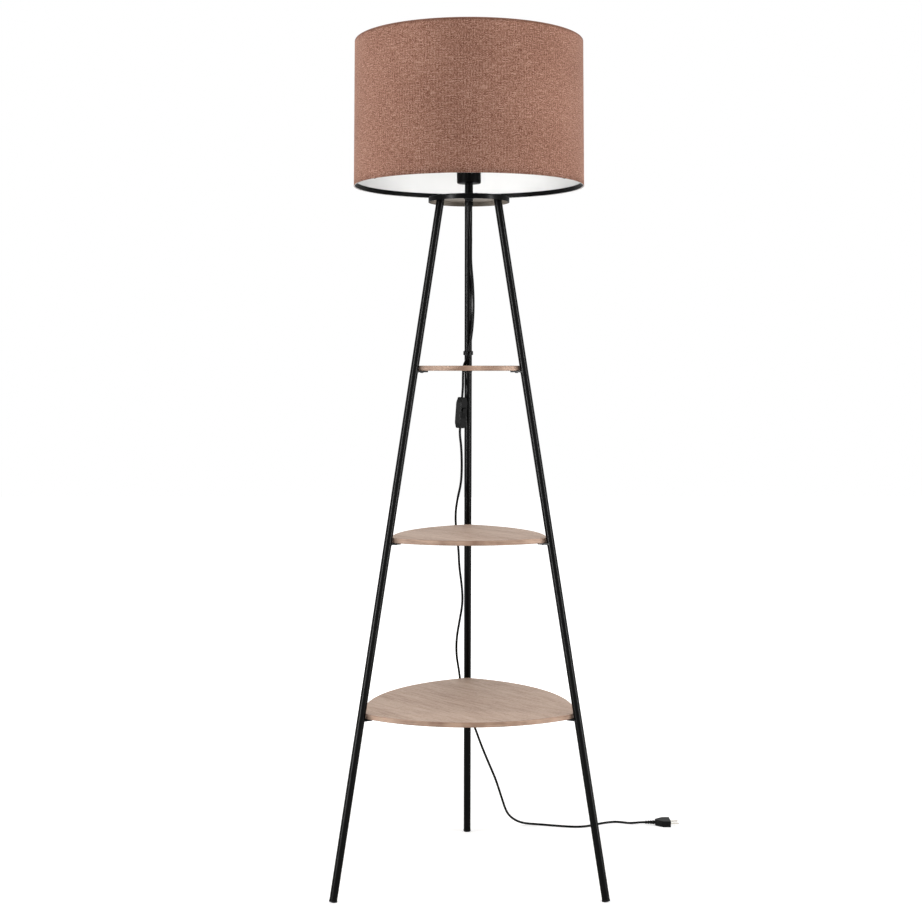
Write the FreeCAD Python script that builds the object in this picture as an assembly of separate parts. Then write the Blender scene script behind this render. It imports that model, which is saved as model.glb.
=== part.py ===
import FreeCAD, Part
import math
import os

# Tripod floor lamp with three round-sided shelves and a drum shade.
# Millimetres, +Z up. The floor is z = 0 and the origin is the middle of the
# footprint, so the lamp's upright axis stands a little in front of it.

V = FreeCAD.Vector

# Legs: three straight steel tubes leaning in to the top plate
leg_azimuths = {"left": 210.0, "right": 330.0, "rear": 90.0}
foot_circle_radius = 305.0      # leg axis at the floor
leg_top_radius = 63.5           # leg axis under the top plate
leg_diameter = 15.4
leg_wall = 1.2
leg_cut_overrun = 10.0          # bars are drawn this far past a level cut

# Foot caps: turned plastic plugs with a domed sole
foot_flange_diameter = 16.4
foot_flange_height = 4.5
foot_dome_radius = 19.0
foot_sole_cut = 0.4             # the floor wears this much flat on the dome
foot_plug_depth = 14.0
foot_plug_clearance = 0.15
foot_rib_width = 1.2
foot_rib_depth = 0.5
foot_flange_bevel = 0.6
foot_plug_lead_in = 1.5

# Top plate: a shallow pressed pan, open side down
plate_diameter = 160.0
plate_height = 10.0
plate_sheet = 1.5
plate_top = 1367.0
plate_edge_round = 1.4

# Leg fixing: a plug welded in each leg's top, and a bolt from above
leg_plug_length = 24.0
leg_bolt_diameter = 6.0
leg_bolt_length = 15.0
leg_bolt_head_diameter = 10.5
leg_bolt_head_height = 3.3
leg_bolt_hex = 4.0
leg_bolt_hex_depth = 2.0
leg_bolt_hole_spare = 1.0
bolt_hole_clearance = 0.3
thread_clearance = 0.05

# Shelves: veneered boards, bulged on three sides, cut off flat at each leg
shelf_thickness = 10.0
shelf_edge_round = 1.0
shelf_corner_flat = 10.0
shelf_top_heights = {"top": 1035.0, "middle": 700.0, "bottom": 360.0}
shelf_leg_gaps = {"top": 1.2, "middle": 1.6, "bottom": 1.8}
shelf_side_setbacks = {"top": 20.3, "middle": 36.7, "bottom": 41.6}

# Shelf brackets: a steel tongue under the board at each leg
tab_thickness = 3.0
tab_width = 16.0
tab_reach_under_board = {"top": 17.0, "middle": 15.0, "bottom": 11.0}
tab_end_round = 4.0
tab_screw_inset = 6.0
screw_diameter = 4.0
screw_head_diameter = 7.6
screw_head_height = 1.4
screw_slot_width = 1.0
screw_slot_depth = 0.8
screw_bite = 7.0
screw_hole_clearance = 0.25

# Stem between the top plate and the socket cup
stem_diameter = 16.0
stem_height = 27.0
stem_bore_clearance = 0.2
threaded_tube_diameter = 10.0
threaded_tube_bore = 7.4
threaded_tube_above_cup = 9.0
threaded_tube_below_plate = 14.0
tube_nut_across_flats = 14.0
tube_nut_height = 4.5
washer_diameter = 20.0
washer_height = 1.5

# Bush at the lower end of the threaded tube, where the cord comes out
bush_diameter = 17.0
bush_height = 20.0
bush_mouth_diameter = 9.0
bush_under_nut = 1.0

# Socket cup and lampholder (screw lamps with a 27 mm cap)
cup_diameter = 47.5
cup_height = 56.0
cup_sheet = 1.0
cup_corner_round = 2.5
holder_neck_diameter = 15.0
holder_neck_height = 5.0
holder_cap_diameter = 38.0
holder_cap_height = 24.0
holder_wall = 2.4
holder_shell_diameter = 39.4
holder_shell_height = 44.0
holder_shell_overlap = 14.0     # the shell's lower rim sits this far down the cap
holder_lip = 1.6
ridged_height = 14.0
ridge_pitch = 2.4
ridge_depth = 0.5
terminal_block_height = 11.0
terminal_pocket_radius = 2.2
terminal_pocket_offset = 9.0
terminal_pocket_depth = 6.0
lamp_thread_radius = 13.4
lamp_thread_wall = 0.5
lamp_thread_length = 24.0
lamp_thread_above_block = 6.0
lamp_thread_flange = 1.6
lamp_thread_clearance = 1.2
lamp_thread_foot_step = 1.0
contact_diameter = 9.0
contact_height = 4.0
contact_thickness = 0.8
contact_post_radius = 2.0

# Drum shade: fabric on a stiff white liner, two rings, slightly conical
shade_below_hub = 62.0
shade_height = 280.0
shade_bottom_radius = 227.0
shade_top_radius = 224.0
fabric_thickness = 0.9
liner_thickness = 0.8
ring_bar_height = 9.0
ring_bar_thickness = 2.0
top_ring_wire = 4.0
ring_clearance = 0.2
ring_from_edge = 0.6
ring_bevel = 0.5

# Spider: a hub ring on the lampholder and three rods down to the bottom ring
hub_outer_radius = 24.5
hub_thickness = 2.0
hub_clearance = 0.4
spider_rod_diameter = 4.0
spider_flat_run = 14.0
spider_hub_run = 34.0
clamp_ring_height = 8.0
clamp_ring_radius = 23.5
clamp_ring_notches = 12
clamp_ring_notch_radius = 1.6
clamp_ring_bevel = 1.0
rod_weld_depth = 0.6

# Mains cord. Each route point says how far it lies to the right of the rear
# leg's axis, how far in front of it at that height, and how high
cord_diameter = 5.0
cord_floor_height = 2.6
bush_exit_run = 13.5            # straight out of the bush
switch_exit_run = 12.0          # straight out of the switch, at both ends
route_to_clip = [
    (2.4, 65.7, 1309.0), (5.0, 48.7, 1291.0), (4.4, 27.9, 1267.0), (5.4, 15.5, 1238.0),
    (9.2, 9.4, 1202.0), (10.8, 6.3, 1163.0), (9.8, 7.7, 1127.0), (6.6, 11.6, 1096.0),
]
route_in_clip = [
    (2.6, 13.4, 1073.0), (-2.6, 12.5, 1049.0),
]
route_to_switch = [
    (-10.8, 7.2, 1035.0), (-12.2, 9.9, 1014.0), (-11.4, 17.0, 993.0),
]
route_to_floor = [
    (-14.2, 32.5, 868.0), (-12.9, 27.4, 826.0), (-14.4, 23.5, 789.0), (-22.4, 18.5, 755.0),
    (-26.6, 14.3, 722.0), (-24.6, 14.0, 684.0), (-19.6, 16.4, 648.0), (-18.4, 17.1, 610.0),
    (-12.6, 17.5, 568.0), (-10.6, 18.3, 530.0), (-17.4, 19.3, 490.0), (-23.8, 18.1, 452.0),
    (-24.4, 15.8, 414.0), (-18.4, 13.3, 377.0), (-15.0, 7.8, 346.0), (-13.6, -1.8, 321.0),
    (-5.4, -11.5, 297.0), (6.0, -14.4, 268.0), (17.6, -14.1, 238.0), (31.0, -14.2, 199.0),
    (47.0, -16.9, 158.0), (63.6, -21.7, 117.0), (77.4, -23.7, 72.0), (87.0, -27.7, 40.0),
    (97.4, -32.2, 24.0), (111.0, -36.3, 13.0), (130.0, -40.9, 5.0),
]
route_on_floor = [
    (161.0, -42.1), (204.0, -29.3), (240.0, -21.1), (264.0, -23.7), (284.0, -34.9), (310.0, -52.1),
    (335.0, -60.5), (352.0, -55.9), (367.0, -48.9),
]
plug_approach_rise = (382.0, -44.5, 4.9)
plug_approach_run = 10.0

# Cable clip on the rear leg
clip_height = 7.0
clip_wall = 2.4
clip_leg_clearance = 0.05
clip_hook_wall = 1.6
clip_hook_clearance = 0.45
clip_mouth_angle = 84.0
clip_cut_overrun = 3.0

# In-line rocker switch, hanging on the cord in front of the rear leg
switch_centre = (-14.7, 28.1, 938.0)
switch_length = 64.0
switch_width = 22.6
switch_thickness = 13.4
switch_front_share = 7.2
switch_wall = 1.6
switch_end_width = 12.4
switch_end_taper = 11.0
switch_edge_round = 1.2
switch_shoulder_round = 9.0
switch_tip_round = 2.0
switch_turn = 54.0              # the rocker's side looks this far round to the right
switch_lean = 4.0               # the top leans this far to the right
switch_forward_lean = 0.03      # and comes this share of its height forward
switch_screw_diameter = 2.6
switch_screw_head = 4.6
switch_screw_offset = 23.0
rocker_length = 20.0
rocker_width = 12.0
rocker_depth = 4.2
rocker_rise = 2.2
rocker_crest = 0.5
rocker_end_round = 0.7
rocker_travel = 14.0
rocker_clearance = 0.5
rocker_end_clearance = 0.9
rocker_pin_diameter = 2.0
rocker_pin_clearance = 0.05
contact_strip_width = 5.0
contact_strip_thickness = 0.8
contact_strip_length = 17.4
contact_post_height = 3.2
contact_strip_offset = 1.5
pin_ear_width = 1.8
pin_ear_length = 7.0
screw_boss_radius = 3.6
pilot_boss_radius = 2.6
boss_inset = 0.8
switch_screw_head_height = 1.4
switch_screw_sink = 1.6
switch_screw_tip = 3.0          # skin left in front of the screw's tip

# Flat two-pin mains plug, lying on the floor
plug_start = (402.0, -42.2)
plug_width = 34.0
plug_length = 34.0
plug_thickness = 13.7
plug_tail_length = 22.0
plug_tail_diameter = 9.0
plug_nose_width = 12.0
plug_shoulder = 20.0
plug_edge_round = 3.0
plug_pin_diameter = 4.0
plug_pin_length = 19.0
plug_pin_spacing = 18.6
plug_tail_rings = 4
plug_ring_growth = 0.3
plug_ring_groove = 0.8

# Worked-out sizes shared by several pieces
leg_radius = leg_diameter / 2
plate_ceiling = plate_top - plate_sheet
plate_rim = plate_top - plate_height
lean = (foot_circle_radius - leg_top_radius) / plate_ceiling
lean_angle = math.atan(lean)
leg_radius_level = leg_radius / math.cos(lean_angle)
cup_floor = plate_top + stem_height
cup_rim = cup_floor + cup_height
rear_reach = foot_circle_radius + foot_flange_diameter / 2 * math.cos(lean_angle)
front_reach = shade_bottom_radius
axis_y = (front_reach - rear_reach) / 2
hub_bottom = cup_rim
hub_top = hub_bottom + hub_thickness
shade_bottom_height = hub_bottom - shade_below_hub
shade_top_height = shade_bottom_height + shade_height
shade_taper = (shade_bottom_radius - shade_top_radius) / shade_height
cord_radius = cord_diameter / 2


def save(name, shape):
    shape.exportStep("parts/" + name + ".step")
    print(name, "solids", len(shape.Solids), "volume", round(shape.Volume, 1), "valid", shape.isValid())


def on_axis(x, y, z):
    """A point given from the lamp's axis."""
    return V(x, axis_y + y, z)


def outward(azimuth):
    return V(math.cos(math.radians(azimuth)), math.sin(math.radians(azimuth)), 0)


def sideways(azimuth):
    return V(-math.sin(math.radians(azimuth)), math.cos(math.radians(azimuth)), 0)


def leg_axis_point(azimuth, z):
    """The point of a leg's axis at height z."""
    return on_axis(0, 0, z) + outward(azimuth) * (foot_circle_radius - lean * z)


def beside_rear_leg(right, ahead, z):
    """A point given from the rear leg's axis at its own height."""
    return on_axis(right, foot_circle_radius - lean * z - ahead, z)


def leg_direction(azimuth):
    """Unit vector up along a leg."""
    return (V(0, 0, 1) - outward(azimuth) * lean).normalize()


def turned(profile, base, direction):
    """A solid turned about an axis, from (radius, height) corners."""
    points = [V(r, 0, h) for r, h in profile]
    face = Part.Face(Part.makePolygon(points + points[:1]))
    solid = face.revolve(V(0, 0, 0), V(0, 0, 1), 360)
    solid.Placement = FreeCAD.Placement(base, FreeCAD.Rotation(V(0, 0, 1), direction))
    return solid


def turned_on_lamp(profile):
    """Turned about the lamp's upright axis, heights from the floor."""
    return turned(profile, on_axis(0, 0, 0), V(0, 0, 1))


def hexagon(across_flats, height, base):
    """An upright hexagonal bar."""
    corner = across_flats / 2 / math.cos(math.pi / 6)
    points = [base + outward(60 * i) * corner for i in range(6)]
    return Part.Face(Part.makePolygon(points + points[:1])).extrude(V(0, 0, height))


def rod(radius, start, end):
    return Part.makeCylinder(radius, (end - start).Length, start, end - start)


def group(solids):
    return Part.makeCompound(solids)


def largest_solid(shape):
    """One clean solid out of a cut."""
    return sorted(shape.Solids, key=lambda s: s.Volume)[-1]


# Legs


def leg_blank(azimuth, radius, low, high):
    """A round bar along a leg's axis between two heights."""
    return rod(radius, leg_axis_point(azimuth, low), leg_axis_point(azimuth, high))


def footprint_block(low, high):
    """A block wider than the lamp, for level cuts."""
    wide = 2 * foot_circle_radius
    return Part.makeBox(2 * wide, 2 * wide, high - low, V(-wide, -wide, low))


def below_ceiling():
    return footprint_block(0, plate_ceiling)


def foot_shoulder(azimuth):
    """The leg's lower end, where the foot cap's flange begins."""
    centre = leg_axis_point(azimuth, 0)
    return centre + leg_direction(azimuth) * (foot_flange_height - foot_sole_cut)


def make_leg(azimuth):
    start = foot_shoulder(azimuth)
    end = leg_axis_point(azimuth, plate_ceiling + leg_cut_overrun)
    tube = rod(leg_radius, start, end).cut(rod(leg_radius - leg_wall, start, end))
    return largest_solid(tube.common(below_ceiling()))


def make_foot_cap(azimuth):
    """Flange, domed sole and a ribbed plug inside the tube."""
    flange = foot_flange_diameter / 2
    plug = leg_radius - leg_wall - foot_plug_clearance
    groove = plug - foot_rib_depth
    sag = foot_dome_radius - math.sqrt(foot_dome_radius ** 2 - flange ** 2)
    mid_sag = foot_dome_radius - math.sqrt(foot_dome_radius ** 2 - (flange / 2) ** 2)
    top = foot_flange_height
    edges = [
        Part.Arc(V(0, 0, 0), V(flange / 2, 0, mid_sag), V(flange, 0, sag)).toShape(),
        Part.makePolygon([
            V(flange, 0, sag), V(flange, 0, top - foot_flange_bevel),
            V(flange - foot_flange_bevel, 0, top), V(plug, 0, top),
            V(plug, 0, top + foot_rib_width), V(groove, 0, top + foot_rib_width),
            V(groove, 0, top + 3 * foot_rib_width), V(plug, 0, top + 3 * foot_rib_width),
            V(plug, 0, top + 4 * foot_rib_width), V(groove, 0, top + 4 * foot_rib_width),
            V(groove, 0, top + 6 * foot_rib_width), V(plug, 0, top + 6 * foot_rib_width),
            V(plug, 0, top + 7 * foot_rib_width), V(plug - foot_plug_lead_in, 0, top + foot_plug_depth),
            V(0, 0, top + foot_plug_depth), V(0, 0, 0)]),
    ]
    wire = Part.Wire(edges[0].Edges + edges[1].Edges)
    cap = Part.Face(wire).revolve(V(0, 0, 0), V(0, 0, 1), 360)
    base = leg_axis_point(azimuth, 0) - leg_direction(azimuth) * foot_sole_cut
    cap.Placement = FreeCAD.Placement(base, FreeCAD.Rotation(V(0, 0, 1), leg_direction(azimuth)))
    return largest_solid(cap.common(below_ceiling()))


def bolt_point(azimuth, z):
    """A point of a leg bolt's upright axis, which crosses the leg's own."""
    crossing = leg_axis_point(azimuth, plate_ceiling - leg_bolt_length / 2)
    return V(crossing.x, crossing.y, z)


def make_leg_plugs():
    solids = []
    for azimuth in leg_azimuths.values():
        blank = leg_blank(azimuth, leg_radius - leg_wall, plate_ceiling - leg_plug_length,
                          plate_ceiling + leg_cut_overrun)
        blank = blank.common(below_ceiling())
        hole = Part.makeCylinder(leg_bolt_diameter / 2 + thread_clearance, leg_bolt_length,
                                 bolt_point(azimuth, plate_ceiling - leg_bolt_length + leg_bolt_hole_spare),
                                 V(0, 0, 1))
        solids.append(largest_solid(blank.cut(hole)))
    return group(solids)


def make_leg_bolts():
    """Button-head bolts with a hexagon socket."""
    solids = []
    head = leg_bolt_head_diameter / 2
    high = leg_bolt_head_height
    shank = leg_bolt_diameter / 2
    reach = leg_bolt_length - 2 * leg_bolt_hole_spare + plate_sheet
    profile = [(0, -reach), (shank - 0.6, -reach), (shank, -reach + 0.6), (shank, 0), (head, 0),
               (head, 0.9), (head * 0.86, high * 0.68), (head * 0.6, high), (0, high)]
    for azimuth in leg_azimuths.values():
        base = bolt_point(azimuth, plate_top)
        bolt = turned(profile, base, V(0, 0, 1))
        socket = hexagon(leg_bolt_hex, leg_bolt_hex_depth + 1, base + V(0, 0, high - leg_bolt_hex_depth))
        solids.append(largest_solid(bolt.cut(socket)))
    return group(solids)


# Top plate, stem and cord bush


def make_top_plate():
    """A pressed pan with three bolt holes and one for the threaded tube."""
    outer = plate_diameter / 2
    inner = outer - plate_sheet
    pan = turned_on_lamp([(0, plate_top), (outer, plate_top), (outer, plate_rim), (inner, plate_rim),
                          (inner, plate_ceiling), (0, plate_ceiling)])
    rim_edges = [e for e in pan.Edges if abs(e.BoundBox.ZMin - plate_top) < 1e-6
                 and abs(e.BoundBox.ZMax - plate_top) < 1e-6 and abs(e.BoundBox.XMax - outer) < 1e-3]
    pan = pan.makeFillet(min(plate_edge_round, plate_sheet * 0.95), rim_edges)
    hole = Part.makeCylinder(threaded_tube_diameter / 2 + thread_clearance, 3 * plate_sheet,
                             on_axis(0, 0, plate_ceiling - plate_sheet), V(0, 0, 1))
    pan = pan.cut(hole)
    for azimuth in leg_azimuths.values():
        bolt_hole = Part.makeCylinder(leg_bolt_diameter / 2 + bolt_hole_clearance, 3 * plate_sheet,
                                      bolt_point(azimuth, plate_ceiling - plate_sheet), V(0, 0, 1))
        pan = pan.cut(bolt_hole)
    return largest_solid(pan)


def make_stem():
    bore = threaded_tube_diameter / 2 + stem_bore_clearance
    outer = stem_diameter / 2
    return turned_on_lamp([(bore, plate_top), (outer, plate_top), (outer, cup_floor), (bore, cup_floor)])


def make_threaded_tube():
    low = plate_ceiling - threaded_tube_below_plate
    high = cup_floor + cup_sheet + threaded_tube_above_cup
    outer = threaded_tube_diameter / 2
    inner = threaded_tube_bore / 2
    return turned_on_lamp([(inner, low), (outer - 0.5, low), (outer, low + 0.5), (outer, high - 0.5),
                           (outer - 0.5, high), (inner, high)])


def tube_nut(z):
    bore = Part.makeCylinder(threaded_tube_diameter / 2 + thread_clearance, tube_nut_height,
                             on_axis(0, 0, z), V(0, 0, 1))
    return hexagon(tube_nut_across_flats, tube_nut_height, on_axis(0, 0, z)).cut(bore)


def make_plate_nut():
    """Washer and nut under the plate, as two solids."""
    bore = threaded_tube_diameter / 2 + thread_clearance
    washer_low = plate_ceiling - washer_height
    washer = turned_on_lamp([(bore, washer_low), (washer_diameter / 2, washer_low),
                             (washer_diameter / 2, plate_ceiling), (bore, plate_ceiling)])
    return group([washer, tube_nut(washer_low - tube_nut_height)])


def make_cup_nut():
    return tube_nut(cup_floor + cup_sheet)


def bush_top():
    return plate_ceiling - washer_height - tube_nut_height - bush_under_nut


def make_cord_bush():
    """A rounded sleeve screwed on the tube, narrowing to the cord."""
    top = bush_top()
    low = top - bush_height
    tube_low = plate_ceiling - threaded_tube_below_plate
    outer = bush_diameter / 2
    mouth = bush_mouth_diameter / 2
    socket = threaded_tube_diameter / 2 + thread_clearance
    return turned_on_lamp([
        (0, low), (mouth - 0.8, low), (mouth, low + 0.8), (outer - 1.2, tube_low - 2.2),
        (outer, tube_low - 0.6),
        (outer, top - 0.8), (outer - 0.8, top), (socket, top), (socket, tube_low), (0, tube_low)])


def make_inner_lead():
    """The cord's last stretch, inside the threaded tube up to the terminals."""
    low = plate_ceiling - threaded_tube_below_plate
    high = cup_floor + cup_sheet + threaded_tube_above_cup + 3.0
    return Part.makeCylinder(cord_radius, high - low, on_axis(0, 0, low), V(0, 0, 1))


# Socket cup and lampholder


def make_socket_cup():
    """A deep-drawn cup, open at the top."""
    outer = cup_diameter / 2
    inner = outer - cup_sheet
    bore = threaded_tube_diameter / 2 + thread_clearance
    cup = turned_on_lamp([(bore, cup_floor), (outer, cup_floor), (outer, cup_rim), (inner, cup_rim),
                          (inner, cup_floor + cup_sheet), (bore, cup_floor + cup_sheet)])
    rim = [e for e in cup.Edges if abs(e.BoundBox.ZMin - cup_floor) < 1e-6
           and abs(e.BoundBox.ZMax - cup_floor) < 1e-6 and abs(e.BoundBox.XMax - outer) < 1e-3]
    return cup.makeFillet(cup_corner_round, rim)


def holder_foot():
    return cup_floor + cup_sheet + tube_nut_height


def holder_seat():
    """Height of the lampholder shell's lower rim."""
    return holder_foot() + holder_neck_height + holder_cap_height - holder_shell_overlap


def make_holder_cap():
    """The dome that screws on the threaded tube."""
    low = holder_foot()
    neck = holder_neck_diameter / 2
    bore = threaded_tube_diameter / 2 + thread_clearance
    outer = holder_cap_diameter / 2
    shoulder = low + holder_neck_height
    top = holder_seat()
    tube_high = cup_floor + cup_sheet + threaded_tube_above_cup
    return turned_on_lamp([
        (bore, low), (neck, low), (neck, shoulder), (outer - 4, shoulder + 1.5), (outer, shoulder + 5.5),
        (outer, top),
        (outer - holder_wall, top), (outer - holder_wall, shoulder + 6.5), (outer - 6, shoulder + 4),
        (bore, max(shoulder + 3.5, tube_high - 1))])


def make_terminal_block():
    """The insulating core with two terminal screws' pockets."""
    low = holder_seat()
    radius = holder_shell_diameter / 2 - holder_wall
    outer = radius - hub_clearance
    high = low + terminal_block_height
    block = turned_on_lamp([(0, low), (outer, low), (outer, high), (0, high)])
    for side in (-1, 1):
        pocket = Part.makeCylinder(terminal_pocket_radius, terminal_pocket_depth,
                                   on_axis(side * terminal_pocket_offset, 0, low), V(0, 0, 1))
        block = block.cut(pocket)
    return block


def make_holder_shell():
    """The skirt that carries the shade's ring, ridged on its upper half."""
    low = holder_seat()
    high = low + holder_shell_height
    outer = holder_shell_diameter / 2
    inner = outer - holder_wall
    lip = lamp_thread_radius + lamp_thread_wall + lamp_thread_clearance
    profile = [(inner, low), (outer, low)]
    for i in range(int(ridged_height / ridge_pitch)):
        ridge = high - ridged_height + ridge_pitch * i
        profile += [(outer, ridge), (outer - ridge_depth, ridge + ridge_pitch * 0.3),
                    (outer, ridge + ridge_pitch * 0.6)]
    profile += [(outer, high - 1), (outer - 1, high), (lip, high), (lip, high - holder_lip),
                (inner, high - holder_lip)]
    return turned_on_lamp(profile)


def lamp_thread_foot():
    return holder_seat() + terminal_block_height + lamp_thread_above_block


def make_lamp_thread():
    """The metal screw shell that takes the lamp's cap, on a flanged foot."""
    low = lamp_thread_foot()
    inner = lamp_thread_radius
    foot_bore = inner - lamp_thread_foot_step
    outer = inner + lamp_thread_wall
    flange = outer + lamp_thread_flange
    flange_low = holder_seat() + terminal_block_height
    high = low + lamp_thread_length
    return turned_on_lamp([(foot_bore, flange_low), (flange, flange_low), (flange, flange_low + 1),
                           (outer, flange_low + 1.6), (outer, high), (inner, high), (inner, low),
                           (foot_bore, low)])


def make_centre_contact():
    """A sprung tongue on the core, under the lamp's tip."""
    low = holder_seat() + terminal_block_height
    disc_low = low + contact_height - contact_thickness
    post = Part.makeCylinder(contact_post_radius, disc_low - low, on_axis(0, 0, low), V(0, 0, 1))
    disc = Part.makeCylinder(contact_diameter / 2, contact_thickness, on_axis(0, 0, disc_low), V(0, 0, 1))
    return post.fuse(disc).removeSplitter()


# Shade


def shade_radius(z):
    """The fabric's outer radius at a height."""
    return shade_bottom_radius - shade_taper * (z - shade_bottom_height)


def drum(outside, thickness, low, high):
    """A conical wall. Its outer face is set in from the fabric's by outside."""
    return turned_on_lamp([
        (shade_radius(low) - outside, low), (shade_radius(high) - outside, high),
        (shade_radius(high) - outside - thickness, high), (shade_radius(low) - outside - thickness, low)])


def make_shade_fabric():
    return drum(0, fabric_thickness, shade_bottom_height, shade_top_height)


def make_shade_liner():
    return drum(fabric_thickness, liner_thickness, shade_bottom_height, shade_top_height)


def ring_outer_radius(low, high):
    """The widest ring that fits inside the liner between two heights."""
    return min(shade_radius(low), shade_radius(high)) - fabric_thickness - liner_thickness - ring_clearance


def bottom_ring_low():
    return shade_bottom_height + ring_from_edge


def make_shade_bottom_ring():
    """A flat bar on edge inside the liner's foot."""
    low = bottom_ring_low()
    high = low + ring_bar_height
    outer = ring_outer_radius(low, high)
    inner = outer - ring_bar_thickness
    return turned_on_lamp([(inner, low + ring_bevel), (inner + ring_bevel, low), (outer - ring_bevel, low),
                           (outer, low + ring_bevel), (outer, high), (inner, high)])


def make_shade_top_ring():
    """A round wire inside the liner's top."""
    wire = top_ring_wire / 2
    z = shade_top_height - wire - ring_from_edge
    ring = Part.makeTorus(ring_outer_radius(z - wire, z + wire) - wire, wire)
    ring.translate(on_axis(0, 0, z))
    return ring


def make_spider():
    """Hub ring and three bent rods, welded into one."""
    hub_inner = holder_shell_diameter / 2 + hub_clearance
    spider = turned_on_lamp([(hub_inner, hub_bottom), (hub_outer_radius, hub_bottom),
                             (hub_outer_radius, hub_top), (hub_inner, hub_top)])
    radius = spider_rod_diameter / 2
    ring_low = bottom_ring_low()
    ring_mid = ring_low + ring_bar_height / 2
    ring_bore = ring_outer_radius(ring_low, ring_low + ring_bar_height) - ring_bar_thickness
    ring_inner = math.sqrt(ring_bore ** 2 - radius ** 2)
    hub_mid = (hub_bottom + hub_top) / 2
    for azimuth in leg_azimuths.values():
        out = outward(azimuth)
        corners = [on_axis(0, 0, ring_mid) + out * ring_inner,
                   on_axis(0, 0, ring_mid) + out * (ring_inner - spider_flat_run),
                   on_axis(0, 0, hub_mid) + out * (hub_outer_radius + spider_hub_run),
                   on_axis(0, 0, hub_mid) + out * (hub_outer_radius - rod_weld_depth)]
        for start, end in zip(corners, corners[1:]):
            spider = spider.fuse(rod(radius, start, end))
        for corner in corners[1:3]:
            spider = spider.fuse(Part.makeSphere(radius, corner))
    return largest_solid(spider.removeSplitter())


def make_clamp_ring():
    """The notched plastic ring that screws down on the hub."""
    inner = holder_shell_diameter / 2 + thread_clearance
    high = hub_top + clamp_ring_height
    outer = clamp_ring_radius
    ring = turned_on_lamp([(inner, hub_top), (outer, hub_top), (outer, high - clamp_ring_bevel),
                           (outer - clamp_ring_bevel, high), (inner, high)])
    notch_centre = outer + clamp_ring_notch_radius / 2
    for i in range(clamp_ring_notches):
        place = on_axis(0, 0, hub_top) + outward(360 / clamp_ring_notches * i) * notch_centre
        ring = ring.cut(Part.makeCylinder(clamp_ring_notch_radius, clamp_ring_height + 1, place, V(0, 0, 1)))
    return ring


# Shelves


def leg_inner_face(z):
    """Distance from the lamp's axis to a leg's nearest side at a height."""
    return foot_circle_radius - lean * z - leg_radius_level


def shelf_corner(level):
    """Distance from the lamp's axis to the flat at each corner."""
    return leg_inner_face(shelf_top_heights[level]) - shelf_leg_gaps[level]


def shelf_outline(level):
    """Three flats facing the legs, joined by three bulged sides."""
    corner = shelf_corner(level)
    reach = corner - shelf_side_setbacks[level]
    half = shelf_corner_flat / 2
    base = on_axis(0, 0, shelf_top_heights[level] - shelf_thickness)
    edges = []
    azimuths = sorted(leg_azimuths.values())
    for azimuth, following in zip(azimuths, azimuths[1:] + [azimuths[0] + 360]):
        flat_start = base + outward(azimuth) * corner - sideways(azimuth) * half
        flat_end = base + outward(azimuth) * corner + sideways(azimuth) * half
        next_start = base + outward(following) * corner - sideways(following) * half
        middle = base + outward((azimuth + following) / 2) * reach
        edges.append(Part.LineSegment(flat_start, flat_end).toShape())
        edges.append(Part.Arc(flat_end, middle, next_start).toShape())
    return Part.Wire(edges)


def tab_screw_place(level, azimuth):
    """The screw's axis under a shelf, at the board's lower face."""
    distance = shelf_corner(level) - tab_screw_inset
    return on_axis(0, 0, shelf_top_heights[level] - shelf_thickness) + outward(azimuth) * distance


def make_shelf(level):
    """A board with softened edges and three blind screw holes."""
    board = Part.Face(shelf_outline(level)).extrude(V(0, 0, shelf_thickness))
    low = shelf_top_heights[level] - shelf_thickness
    high = shelf_top_heights[level]
    rims = [e for e in board.Edges if abs(e.BoundBox.ZMax - e.BoundBox.ZMin) < 1e-6
            and (abs(e.BoundBox.ZMin - low) < 1e-6 or abs(e.BoundBox.ZMin - high) < 1e-6)]
    board = board.makeFillet(shelf_edge_round, rims)
    for azimuth in leg_azimuths.values():
        hole = Part.makeCylinder(screw_diameter / 2 + thread_clearance, screw_bite + 0.5,
                                 tab_screw_place(level, azimuth), V(0, 0, 1))
        board = board.cut(hole)
    return largest_solid(board)


def make_brackets(level):
    """Three tongues with rounded ends, hollowed to fit the tubes."""
    solids = []
    board_low = shelf_top_heights[level] - shelf_thickness
    low = board_low - tab_thickness
    half = tab_width / 2
    for azimuth in leg_azimuths.values():
        out = outward(azimuth)
        side = sideways(azimuth)
        start = shelf_corner(level) - tab_reach_under_board[level]
        finish = foot_circle_radius - lean * low
        base = on_axis(0, 0, low)
        corners = [base + out * start - side * half, base + out * finish - side * half,
                   base + out * finish + side * half, base + out * start + side * half]
        blank = Part.Face(Part.makePolygon(corners + corners[:1])).extrude(V(0, 0, tab_thickness))
        ends = [e for e in blank.Edges if e.BoundBox.ZLength > tab_thickness / 2
                and min((e.CenterOfMass - c).Length for c in (corners[0], corners[3])) < tab_thickness]
        blank = blank.makeFillet(tab_end_round, ends)
        blank = blank.cut(leg_blank(azimuth, leg_radius, low - leg_cut_overrun, low + 2 * leg_cut_overrun))
        hole = Part.makeCylinder(screw_diameter / 2 + screw_hole_clearance, tab_thickness + 2,
                                 tab_screw_place(level, azimuth) - V(0, 0, tab_thickness + 1), V(0, 0, 1))
        tongue = blank.cut(hole)
        inner = [s for s in tongue.Solids if s.distToShape(Part.Vertex(corners[0]))[0] < tab_width]
        solids.append(sorted(inner, key=lambda s: s.Volume)[-1])
    return group(solids)


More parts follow.
